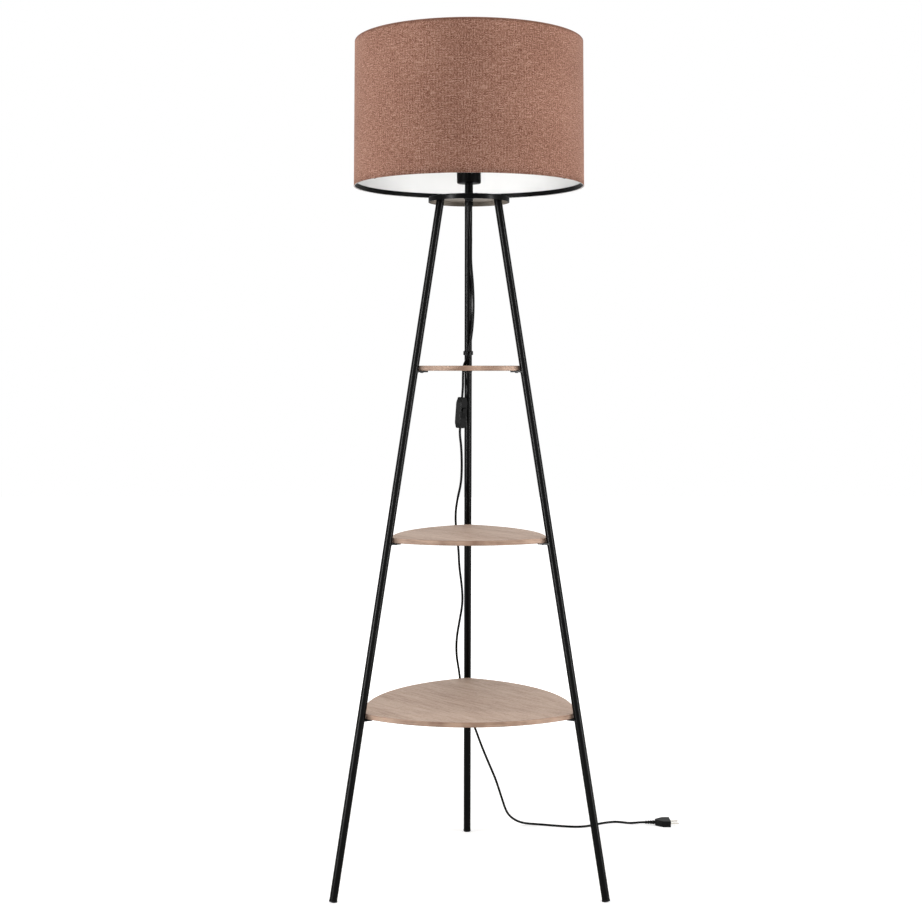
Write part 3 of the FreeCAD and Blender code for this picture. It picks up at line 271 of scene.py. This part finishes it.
plasticFinishes = {
    # name: colour, roughness, skin gloss, grain in metres, grain depth in metres
    "mouldedNylon": ("#070707", 0.42, 0.16, 0.0016, 0.00006),
    "phenolicResin": ("#060606", 0.24, 0.30, 0.0200, 0.00002),
    "grainedAbs": ("#090909", 0.36, 0.15, 0.0014, 0.00003),
    "glossyAbs": ("#020202", 0.24, 0.10, 0.0200, 0.00002),
    "softPvc": ("#030303", 0.36, 0.10, 0.0060, 0.00003),
}
plasticSizes = {
    "specular": 0.02, "grainStrength": 0.30,
    "cloud": 0.018,  # handling leaves duller spots about 18 mm across
    "smoother": 0.06, "rougher": 0.08,
}


def mouldedPlastic(name):
    # nylon feet, phenolic lampholder, spark-grained ABS shells and plug, polished ABS rocker, PVC cord: a black
    # body under a thin skin that gives the gloss, each with its own grain
    colour, roughness, gloss, grain, depth = plasticFinishes[name]
    material, tree, shader = startMaterial(name, {
        "Base Color": linear(colour), "Roughness": roughness, "Specular IOR Level": plasticSizes["specular"],
        "IOR": coatingIor, "Coat Weight": gloss, "Coat Roughness": roughness})
    place = addNode(tree, "ShaderNodeTexCoord").outputs["Object"]
    fine = addNoise(tree, place, grain, 2.0)
    cloudy = addNoise(tree, place, plasticSizes["cloud"], 2.0)
    swingRoughness(tree, shader, cloudy, roughness - plasticSizes["smoother"], roughness + plasticSizes["rougher"])
    addRelief(tree, shader, fine, plasticSizes["grainStrength"], depth, ("Normal", "Coat Normal"))
    return material


metalFinishes = {
    # name: colour, roughness, blotch size in metres
    "zincPlatedSteel": ("#b4b7ba", 0.34, 0.006),
    "darkZincSteel": ("#2b2c2e", 0.40, 0.006),
    "blackOxideSteel": ("#242425", 0.46, 0.004),
    "drawnBrass": ("#c4a468", 0.30, 0.010),
    "nickelPlatedBrass": ("#c9c5be", 0.20, 0.012),
}
metalSizes = {"smoother": 0.08, "rougher": 0.12}


def platedMetal(name):
    # bright and dark zinc, black oxide, brass and nickel: bare metal with slow blotches in its sheen
    colour, roughness, blotch = metalFinishes[name]
    material, tree, shader = startMaterial(name, {
        "Base Color": linear(colour), "Metallic": 1.0, "Roughness": roughness})
    place = addNode(tree, "ShaderNodeTexCoord").outputs["Object"]
    blotches = addNoise(tree, place, blotch, 3.0)
    swingRoughness(tree, shader, blotches, roughness - metalSizes["smoother"], roughness + metalSizes["rougher"])
    return material


oakSizes = {
    "grainTurn": -49.0,  # degrees from +X to the grain, which runs from back left to front right
    "light": "#c6b0a0", "middle": "#b59d8c", "dark": "#9b8271", "pore": "#826959",
    "edgeLight": "#c4a48e", "edgeDark": "#8a6b59", "arris": "#7d6656",
    "figure": 0.034,  # a cathedral band is about 34 mm wide
    "figureLength": 0.26,
    "grainDepth": 0.16,  # every grain pattern is drawn this deep, so that a board's face cuts one layer of it
    "bend": 0.2, "bendReach": 2.2,  # the figure wanders over 200 mm, by this many of its own widths
    "strip": 0.026,  # veneer leaves are laid side by side about 26 mm wide
    "streak": 0.0065,
    "streakLength": 0.060,
    "fleck": 0.0042,
    "streakShare": 0.44, "figureShare": 0.26, "leafShare": 0.06, "fleckShare": 0.24,
    "darkAt": 0.34, "middleAt": 0.49, "lightAt": 0.66,
    "poreWidth": 0.0013,  # pores are about 0.3 mm wide, drawn at 1.3 mm so that they show
    "poreLength": 0.030,
    "poreFrom": 0.60, "poreTo": 0.74, "poreStrength": 0.55,
    "edgePatch": 0.045,  # the edge band's darker patches are about 45 mm long
    "edgeGrain": (14.0, 14.0, 520.0),  # per metre: the band's streaks are about 70 mm long and 2 mm tall
    "edgeGrainShare": 0.45, "edgePatchShare": 0.55, "edgeDarkAt": 0.36, "edgeLightAt": 0.58,
    # how far a normal's height is from level, 0, to upright, 1: painted shade is darkest on the arris between, the
    # face is upright
    "arrisStops": ((0.10, 0.0), (0.45, 0.75), (0.93, 0.0)), "faceFrom": 0.6, "faceTo": 0.9,
    "roughness": 0.56, "smoother": 0.06, "rougher": 0.08, "specular": 0.16,
    "reliefStrength": 0.25, "reliefDepth": 0.0003,
}


def greyedOakVeneer():
    # oak veneer and edge band, brushed and stained grey-beige under matt lacquer: long soft streaks, short dark
    # pores, a warmer edge, and painted shade on the rounded arris
    material, tree, shader = startMaterial("greyedOakVeneer", {
        "Base Color": linear(oakSizes["middle"]), "Roughness": oakSizes["roughness"],
        "Specular IOR Level": oakSizes["specular"], "IOR": coatingIor})
    place = addNode(tree, "ShaderNodeTexCoord").outputs["Object"]

    def alongGrain(length, width):
        return addNode(tree, "ShaderNodeMapping", {
            "vector_type": "TEXTURE", "Rotation": (0.0, 0.0, radians(oakSizes["grainTurn"])),
            "Scale": (length, width, oakSizes["grainDepth"])}, {"Vector": place}).outputs[0]

    bend = addNoise(tree, place, oakSizes["bend"], 1.0)
    figurePlace = addNode(tree, "ShaderNodeVectorMath", {
        "operation": "MULTIPLY_ADD", 1: (0.0, oakSizes["bendReach"], 0.0)}, {
        0: bend.outputs["Color"], 2: alongGrain(oakSizes["figureLength"], oakSizes["figure"])})
    figure = addNoise(tree, figurePlace.outputs[0], 1.0, 2.0, 0.45)
    streaks = addNoise(tree, alongGrain(oakSizes["streakLength"], oakSizes["streak"]), 1.0, 4.0, 0.62)
    pores = addNoise(tree, alongGrain(oakSizes["poreLength"], oakSizes["poreWidth"]), 1.0, 1.0)
    across = addNode(tree, "ShaderNodeSeparateXYZ", links={0: alongGrain(1.0, oakSizes["strip"])})
    leaf = addNode(tree, "ShaderNodeMath", {"operation": "FLOOR"}, {0: across.outputs[1]})
    leafTone = addNode(tree, "ShaderNodeTexWhiteNoise", {"noise_dimensions": "1D"}, {"W": leaf.outputs[0]})
    flecks = addNoise(tree, place, oakSizes["fleck"], 1.0)
    blend = addShares(tree, [(streaks, oakSizes["streakShare"]), (figure, oakSizes["figureShare"]),
                             (leafTone, oakSizes["leafShare"]), (flecks, oakSizes["fleckShare"])])
    face = addNode(tree, "ShaderNodeValToRGB", {"stops": [
        (oakSizes["darkAt"], linear(oakSizes["dark"])), (oakSizes["middleAt"], linear(oakSizes["middle"])),
        (oakSizes["lightAt"], linear(oakSizes["light"]))]}, {0: blend.outputs[0]})
    poreMask = addNode(tree, "ShaderNodeMapRange", {
        "From Min": oakSizes["poreFrom"], "From Max": oakSizes["poreTo"], "To Max": oakSizes["poreStrength"]},
        {0: pores.outputs[0]})
    facePored = addNode(tree, "ShaderNodeMix", {"data_type": "RGBA", 7: linear(oakSizes["pore"])}, {
        0: poreMask.outputs[0], 6: face.outputs[0]})

    # the edge band's grain runs level round the board
    level = addNode(tree, "ShaderNodeMapping", {"Scale": oakSizes["edgeGrain"]}, {"Vector": place})
    bandGrain = addNoise(tree, level.outputs[0], 1.0, 3.0, 0.6)
    bandPatches = addNoise(tree, place, oakSizes["edgePatch"], 2.0)
    bandTone = addShares(tree, [(bandGrain, oakSizes["edgeGrainShare"]), (bandPatches, oakSizes["edgePatchShare"])])
    band = addNode(tree, "ShaderNodeValToRGB", {"stops": [
        (oakSizes["edgeDarkAt"], linear(oakSizes["edgeDark"])),
        (oakSizes["edgeLightAt"], linear(oakSizes["edgeLight"]))]}, {0: bandTone.outputs[0]})
    normal = addNode(tree, "ShaderNodeNewGeometry").outputs["True Normal"]
    upness = addNode(tree, "ShaderNodeSeparateXYZ", links={0: normal}).outputs[2]
    steep = addNode(tree, "ShaderNodeMath", {"operation": "ABSOLUTE"}, {0: upness})
    # painted shade on the rounded arris: strongest where the normal is half way between level and upright
    arrisShadeMask = addNode(tree, "ShaderNodeValToRGB", {"stops": [
        (position, (grey, grey, grey, 1.0)) for position, grey in oakSizes["arrisStops"]]}, {0: steep.outputs[0]})
    flatMask = addNode(tree, "ShaderNodeMapRange", {
        "From Min": oakSizes["faceFrom"], "From Max": oakSizes["faceTo"]}, {0: steep.outputs[0]})
    joined = addNode(tree, "ShaderNodeMix", {"data_type": "RGBA"}, {
        0: flatMask.outputs[0], 6: band.outputs[0], 7: facePored.outputs[2]})
    arrisShaded = addNode(tree, "ShaderNodeMix", {"data_type": "RGBA", 7: linear(oakSizes["arris"])}, {
        0: arrisShadeMask.outputs[0], 6: joined.outputs[2]})
    depth = addNode(tree, "ShaderNodeMath", {"operation": "SUBTRACT"}, {0: streaks.outputs[0], 1: poreMask.outputs[0]})
    tree.links.new(arrisShaded.outputs[2], shader.inputs["Base Color"])
    swingRoughness(tree, shader, streaks, oakSizes["roughness"] + oakSizes["rougher"],
                   oakSizes["roughness"] - oakSizes["smoother"])
    addRelief(tree, shader, depth, oakSizes["reliefStrength"], oakSizes["reliefDepth"])
    return material


linenSizes = {
    "light": "#bd9381", "middle": "#8f6553", "dark": "#5f382b", "fuzz": "#f2d6c8",
    "lightAt": 0.62, "middleAt": 0.50, "darkAt": 0.39,
    "thread": 0.0019,  # threads are about 0.6 mm apart, drawn at 1.9 mm so that the weave shows
    "slubLength": 0.011, "slubWidth": 0.0019,
    "warpLength": 0.010, "warpWidth": 0.0019,
    "cloud": 0.09,  # the dye's lighter and darker clouds
    "slubShare": 0.24, "warpShare": 0.20, "threadShare": 0.50, "cloudShare": 0.06,
    "thickLength": 0.030, "thickWidth": 0.0022,  # the few thick weft threads
    "thickFrom": 0.66, "thickTo": 0.76, "thickLift": 0.06,
    "rib": 0.0058, "ribLift": 0.013,  # every tenth warp thread stands a little prouder
    "hem": "#5a372b", "hemFrom": 0.2752, "hemTo": 0.2785,  # painted shade along the fold: its colour, and the metres up the cloth where it turns in over the wire
    "hemShare": 0.6,
    "roughness": 0.86, "specular": 0.08, "sheen": 0.22, "sheenRoughness": 0.45,
    "reliefStrength": 0.5, "reliefDepth": 0.0006,
}


def slubLinen():
    # linen-look polyester weave with uneven weft: dusty terracotta, light slubs lying level, soft fuzz at the sides,
    # painted shade along the top hem's fold
    material, tree, shader = startMaterial("slubLinen", {
        "Base Color": linear(linenSizes["middle"]), "Roughness": linenSizes["roughness"],
        "Specular IOR Level": linenSizes["specular"], "Sheen Weight": linenSizes["sheen"],
        "Sheen Roughness": linenSizes["sheenRoughness"], "Sheen Tint": linear(linenSizes["fuzz"])})
    cloth = addNode(tree, "ShaderNodeUVMap", {"uv_map": "clothMetres"}).outputs[0]

    def stretched(wide, tall):
        return addNode(tree, "ShaderNodeMapping", {"Scale": (1 / wide, 1 / tall, 1.0)}, {"Vector": cloth}).outputs[0]

    slubs = addNoise(tree, stretched(linenSizes["slubLength"], linenSizes["slubWidth"]), 1.0, 2.0, 0.55)
    warp = addNoise(tree, stretched(linenSizes["warpWidth"], linenSizes["warpLength"]), 1.0, 1.0)
    speckle = addNoise(tree, cloth, linenSizes["thread"], 1.0)
    clouds = addNoise(tree, cloth, linenSizes["cloud"], 2.0)
    woven = addShares(tree, [(slubs, linenSizes["slubShare"]), (warp, linenSizes["warpShare"]),
                             (speckle, linenSizes["threadShare"]), (clouds, linenSizes["cloudShare"])])
    thick = addNoise(tree, stretched(linenSizes["thickLength"], linenSizes["thickWidth"]), 1.0, 0.0)
    thickMask = addNode(tree, "ShaderNodeMapRange", {
        "From Min": linenSizes["thickFrom"], "From Max": linenSizes["thickTo"], "To Max": linenSizes["thickLift"]},
        {0: thick.outputs[0]})
    lifted = addNode(tree, "ShaderNodeMath", {"operation": "ADD"}, {0: woven.outputs[0], 1: thickMask.outputs[0]})
    across = addNode(tree, "ShaderNodeSeparateXYZ", links={0: stretched(linenSizes["rib"] / (2 * np.pi), 1.0)})
    ribs = addNode(tree, "ShaderNodeMath", {"operation": "SINE"}, {0: across.outputs[0]})
    tone = addNode(tree, "ShaderNodeMath", {"operation": "MULTIPLY_ADD", 1: linenSizes["ribLift"]}, {
        0: ribs.outputs[0], 2: lifted.outputs[0]})
    colour = addNode(tree, "ShaderNodeValToRGB", {"stops": [
        (linenSizes["darkAt"], linear(linenSizes["dark"])), (linenSizes["middleAt"], linear(linenSizes["middle"])),
        (linenSizes["lightAt"], linear(linenSizes["light"]))]}, {0: tone.outputs[0]})
    upCloth = addNode(tree, "ShaderNodeSeparateXYZ", links={0: cloth})
    # painted shade on the hem where the cloth rolls in over the top wire
    hemShadeMask = addNode(tree, "ShaderNodeMapRange", {
        "From Min": linenSizes["hemFrom"], "From Max": linenSizes["hemTo"], "To Max": linenSizes["hemShare"]},
        {0: upCloth.outputs[1]})
    hemShaded = addNode(tree, "ShaderNodeMix", {"data_type": "RGBA", 7: linear(linenSizes["hem"])}, {
        0: hemShadeMask.outputs[0], 6: colour.outputs[0]})
    tree.links.new(hemShaded.outputs[2], shader.inputs["Base Color"])
    addRelief(tree, shader, tone, linenSizes["reliefStrength"], linenSizes["reliefDepth"])
    return material


linerSizes = {
    "white": "#f1f1f0", "shadow": "#eeeeed", "shadowAt": 0.35, "whiteAt": 0.65, "roughness": 0.48, "specular": 0.4,
    "cloud": 0.05, "reliefStrength": 0.1, "reliefDepth": 0.0005,
}


def laminatedLiner():
    # stiff white PVC laminate: smooth, softly glossy, with a faint unevenness from the glued cloth behind it
    material, tree, shader = startMaterial("laminatedLiner", {
        "Base Color": linear(linerSizes["white"]), "Roughness": linerSizes["roughness"],
        "Specular IOR Level": linerSizes["specular"], "IOR": coatingIor})
    place = addNode(tree, "ShaderNodeTexCoord").outputs["Object"]
    cloudy = addNoise(tree, place, linerSizes["cloud"], 2.0)
    tone = addNode(tree, "ShaderNodeValToRGB", {"stops": [
        (linerSizes["shadowAt"], linear(linerSizes["shadow"])),
        (linerSizes["whiteAt"], linear(linerSizes["white"]))]}, {0: cloudy.outputs[0]})
    tree.links.new(tone.outputs[0], shader.inputs["Base Color"])
    addRelief(tree, shader, cloudy, linerSizes["reliefStrength"], linerSizes["reliefDepth"])
    return material


finishes = {name: mouldedPlastic(name) for name in plasticFinishes}
finishes.update({name: platedMetal(name) for name in metalFinishes})
finishes["powderCoatedSteel"] = powderCoatedSteel("powderCoatedSteel", False)
finishes["paleInsidePlate"] = powderCoatedSteel("paleInsidePlate", True)
finishes["greyedOakVeneer"] = greyedOakVeneer()
finishes["slubLinen"] = slubLinen()
finishes["laminatedLiner"] = laminatedLiner()

nodeFinishes = {
    "powderCoatedSteel": ["left_leg", "right_leg", "rear_leg", "leg_top_plugs", "stem_tube", "socket_cup",
                          "shade_bottom_ring", "shade_top_ring", "shade_spider", "top_shelf_brackets",
                          "middle_shelf_brackets", "bottom_shelf_brackets"],
    "paleInsidePlate": ["top_plate"],
    "mouldedNylon": ["left_foot_cap", "right_foot_cap", "rear_foot_cap", "cord_bush", "cable_clip"],
    "phenolicResin": ["holder_cap", "terminal_block", "holder_shell", "shade_clamp_ring"],
    "grainedAbs": ["switch_front", "switch_back", "plug_body"],
    "glossyAbs": ["switch_rocker"],
    "softPvc": ["inner_lead"],
    "zincPlatedSteel": ["cup_nut", "switch_screws", "rocker_pin"],
    "darkZincSteel": ["leg_bolts", "threaded_tube", "plate_nut"],
    "blackOxideSteel": ["shelf_screws"],
    "drawnBrass": ["lamp_thread", "centre_contact", "switch_contacts"],
    "nickelPlatedBrass": ["plug_pins"],
    "greyedOakVeneer": ["top_shelf", "middle_shelf", "bottom_shelf"],
    "laminatedLiner": ["shade_liner"],
}
for finish, names in nodeFinishes.items():
    for name in names:
        for materialSlot in nodes[name].material_slots:
            materialSlot.material = finishes[finish]
for piece in (cordUpper, cordLower):
    piece.data.materials.append(finishes["softPvc"])
print("materials ready:", len(finishes))


shadeSizes = {
    "bottom": 1.3880, "top": 1.6680, "bottomRadius": 0.2270, "topRadius": 0.2240,
    "cloth": 0.0009,
    "around": 288,
    "wallSteps": 24,
    "wallGap": 0.0015,  # the wall stops this far under the top, where the hem's fold begins
    # the cloth laps over itself down the back: the lap eases off at one side and ends in a step at the other
    "seamWidth": 0.012, "seamLift": 0.0005, "seamEase": 0.002, "seamStep": 0.0008, "seamFoot": 0.1,
    # the top hem rolls inward over the wire: radius and height of the fold's turns
    "hem": [(0.22402, 1.6676), (0.22330, 1.6689), (0.22210, 1.66955), (0.22040, 1.66960), (0.21890, 1.66895),
            (0.21785, 1.66760), (0.21745, 1.66590), (0.21770, 1.66410), (0.21860, 1.66260), (0.21985, 1.66155),
            (0.22110, 1.66085), (0.22170, 1.65950), (0.22180, 1.65500)],
}


def makeShadeCover():
    # a cone wall turned about the lamp's axis; its profile runs up the outside and rolls in over the top wire,
    # and the radius grows a little where it laps over itself at the back
    wall = np.linspace(0, 1, shadeSizes["wallSteps"])
    wallRadius = shadeSizes["bottomRadius"] + (shadeSizes["topRadius"] - shadeSizes["bottomRadius"]) * wall
    wallHeight = shadeSizes["bottom"] + (shadeSizes["top"] - shadeSizes["wallGap"] - shadeSizes["bottom"]) * wall
    hem = np.array(shadeSizes["hem"])
    radius = np.concatenate([wallRadius, hem[:, 0]])
    height = np.concatenate([wallHeight, hem[:, 1]])
    along = np.concatenate([[0], np.cumsum(np.hypot(np.diff(radius), np.diff(height)))])
    count = shadeSizes["around"]
    angle = np.linspace(0, 2 * np.pi, count, endpoint=False)  # starts at the back
    fromSeam = angle * shadeSizes["bottomRadius"]
    easing = np.clip((shadeSizes["seamWidth"] - fromSeam) / shadeSizes["seamEase"], 0, 1)
    step = np.clip(fromSeam / shadeSizes["seamStep"] + shadeSizes["seamFoot"], 0, 1)
    lift = shadeSizes["seamLift"] * (easing * step) * (height[:, None] < shadeSizes["top"])
    reach = radius[:, None] + lift
    x = lampAxis[0] - reach * np.sin(angle)
    y = lampAxis[1] + reach * np.cos(angle)
    z = np.broadcast_to(height[:, None], x.shape)
    around = np.linspace(0, 2 * np.pi, count + 1) * shadeSizes["bottomRadius"]
    uv = np.stack(np.broadcast_arrays(around[None, :], along[:, None]), axis=-1)
    piece = meshFromPatches("shadeCover", np.stack([x, y, z], axis=-1)[None], True, uv[None])
    thickness = piece.modifiers.new("cloth", "SOLIDIFY")
    thickness.thickness = shadeSizes["cloth"]
    thickness.offset = -1.0
    return piece, float(along[-1])


shadeCover, coverLength = makeShadeCover()
shadeCover.data.materials.append(finishes["slubLinen"])
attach(shadeCover, "lamp")
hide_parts("shade_fabric")
print("shade covered:", round(coverLength, 4), "m of cloth up the wall")


weldSizes = {
    "legAngles": (210.0, 330.0, 90.0), "footCircle": 0.305, "legRadius": 0.0077,
    "lean": 0.176858,  # how far a leg comes in for each metre of height
    "shelfTops": (1.035, 0.700, 0.360), "board": 0.010, "bracket": 0.003,
    "beadRadius": 0.0011, "sweep": 80.0,  # degrees to each side of the leg's inner line
    "ripples": 9, "rippleShare": 0.12, "taper": 0.4,
    "steps": 37, "sides": 8, "mergeDistance": 0.00002,
}


def makeWeldBeads():
    # a small round bead bent round the leg's inner side, under each bracket; its thickness swells in ripples and
    # tapers to nothing at both ends
    along = np.linspace(0, 1, weldSizes["steps"])
    section = np.linspace(0, 2 * np.pi, weldSizes["sides"], endpoint=False)
    around = np.radians(weldSizes["sweep"]) * (2 * along - 1)
    smooth = weldSizes["beadRadius"] * np.sin(np.pi * along) ** weldSizes["taper"]
    thick = smooth * (1 + weldSizes["rippleShare"] * np.sin(2 * np.pi * weldSizes["ripples"] * along))
    up = np.array([0.0, 0.0, 1.0])
    beads = []
    for top in weldSizes["shelfTops"]:
        height = top - weldSizes["board"] - weldSizes["bracket"]
        for angle in np.radians(weldSizes["legAngles"]):
            out = np.array([np.cos(angle), np.sin(angle), 0.0])
            side = np.array([-np.sin(angle), np.cos(angle), 0.0])
            centre = np.array([*lampAxis, height]) + out * (weldSizes["footCircle"] - weldSizes["lean"] * height)
            ray = -out * np.cos(around)[:, None] + side * np.sin(around)[:, None]
            spine = centre + ray * weldSizes["legRadius"]
            ring = ray[:, None, :] * np.cos(section)[None, :, None] + up * np.sin(section)[None, :, None]
            beads.append(spine[:, None, :] + ring * thick[:, None, None])
    return meshFromPatches("weldBeads", np.array(beads), True, mergeDistance=weldSizes["mergeDistance"])


weldBeads = makeWeldBeads()
weldBeads.data.materials.append(finishes["powderCoatedSteel"])
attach(weldBeads, "lamp")
print("weld beads:", len(weldBeads.data.polygons), "faces")


studio = {
    "floorColour": "#dcdbda", "floorWhite": 0.52, "fadeFrom": 0.75, "fadeTo": 1.7, "floorHalf": 9.0,
    "ambient": 0.46,
    "sideBoxes": [  # degrees round from the front, distance, width, height, height of the middle, brightness
        (-78.0, 2.2, 0.60, 2.4, 1.25, 7.0),
        (72.0, 2.2, 0.60, 2.4, 1.25, 6.6),
        (180.0, 2.4, 1.20, 2.2, 1.25, 1.0)],
    "glossStrips": [  # narrow strips that only show as a line of light in gloss
        (-51.0, 2.2, 0.30, 3.2, 1.62, 60.0),
        (62.0, 2.2, 0.30, 3.2, 1.62, 46.0)],
    "topPlace": (0.0, -1.1, 3.1), "topAim": (0.0, 0.0, 0.7), "topSize": 1.8, "topBrightness": 2.6,
    # a small lamp over the top plate lights the back of the liner, as the photo has it
    "fillPlace": (0.02, 0.02, 1.402), "fillAim": (0.02, 0.18, 1.44), "fillSize": (0.06, 0.03), "fillBrightness": 12.5,
}


def raysThatSee(tree):
    # 1 for a ray from the camera, off gloss or through glass, 0 for one that only sheds light
    seen = addNode(tree, "ShaderNodeLightPath")
    anySeen = addNode(tree, "ShaderNodeMath", {"operation": "ADD"}, {
        0: seen.outputs["Is Glossy Ray"], 1: seen.outputs["Is Transmission Ray"]})
    return addNode(tree, "ShaderNodeMath", {"operation": "ADD", "use_clamp": True}, {
        0: seen.outputs["Is Camera Ray"], 1: anySeen.outputs[0]})


def makeFloor():
    # one flat square at z = 0; it keeps the shadow near the lamp and fades to white further out
    half = studio["floorHalf"]
    grid = np.array([[(-half, -half, 0.0), (half, -half, 0.0)], [(-half, half, 0.0), (half, half, 0.0)]])
    floor = meshFromPatches("studioFloor", grid[None])
    material = bpy.data.materials.new("pearlPaper")
    material.use_nodes = True
    tree = material.node_tree
    tree.nodes.clear()
    paper = addNode(tree, "ShaderNodeBsdfDiffuse", {"Color": linear(studio["floorColour"])})
    shown = raysThatSee(tree)
    place = addNode(tree, "ShaderNodeTexCoord").outputs["Object"]
    distance = addNode(tree, "ShaderNodeVectorMath", {"operation": "LENGTH"}, {0: place})
    fade = addNode(tree, "ShaderNodeMapRange", {
        "interpolation_type": "SMOOTHSTEP", "From Min": studio["fadeFrom"], "From Max": studio["fadeTo"],
        "To Min": studio["floorWhite"]}, {0: distance.outputs["Value"]})
    glow = addNode(tree, "ShaderNodeMath", {"operation": "MULTIPLY"}, {0: fade.outputs[0], 1: shown.outputs[0]})
    lift = addNode(tree, "ShaderNodeEmission", {"Color": (1, 1, 1, 1)}, {"Strength": glow.outputs[0]})
    both = addNode(tree, "ShaderNodeAddShader", links={0: paper.outputs[0], 1: lift.outputs[0]})
    addNode(tree, "ShaderNodeOutputMaterial", links={"Surface": both.outputs[0]})
    floor.data.materials.append(material)


def makeWorld():
    # white wherever the camera, gloss or glass looks; softer for the light it sheds
    world = bpy.data.worlds.new("paleStudio")
    bpy.context.scene.world = world
    world.use_nodes = True
    tree = world.node_tree
    tree.nodes.clear()
    shown = raysThatSee(tree)
    strength = addNode(tree, "ShaderNodeMapRange", {"To Min": studio["ambient"], "To Max": 1.0}, {0: shown.outputs[0]})
    sky = addNode(tree, "ShaderNodeBackground", {"Color": (1, 1, 1, 1)}, {"Strength": strength.outputs[0]})
    addNode(tree, "ShaderNodeOutputWorld", links={"Surface": sky.outputs[0]})


def makeSoftbox(name, place, aim, width, height, brightness, diffuse=True, glossy=True):
    # a flat panel whose brightness is power / (area x pi); it can light surfaces, show in their gloss, or both
    panel = bpy.data.lights.new(name, "AREA")
    panel.shape = "RECTANGLE"
    panel.size = width
    panel.size_y = height
    panel.energy = brightness * width * height * np.pi
    lamp = bpy.data.objects.new(name, panel)
    bpy.context.collection.objects.link(lamp)
    facing = (Vector(aim) - Vector(place)).to_track_quat("-Z", "Y")
    lamp.matrix_world = Matrix.Translation(place) @ facing.to_matrix().to_4x4()
    lamp.visible_camera = False
    lamp.visible_diffuse = diffuse
    lamp.visible_glossy = glossy


makeFloor()
makeWorld()
for name, diffuse in (("sideBoxes", True), ("glossStrips", False)):
    for number, (angle, distance, width, height, middle, brightness) in enumerate(studio[name]):
        x = distance * np.sin(radians(angle))
        y = -distance * np.cos(radians(angle))
        makeSoftbox("%s%d" % (name, number), (x, y, middle), (0.0, 0.0, middle), width, height, brightness,
                    diffuse, not diffuse)
makeSoftbox("shadeFill", studio["fillPlace"], studio["fillAim"], *studio["fillSize"], studio["fillBrightness"],
            glossy=False)
makeSoftbox("topBox", studio["topPlace"], studio["topAim"], studio["topSize"], studio["topSize"],
            studio["topBrightness"])
bpy.context.scene.view_settings.view_transform = "Standard"
print("studio ready")

bpy.context.view_layer.update()
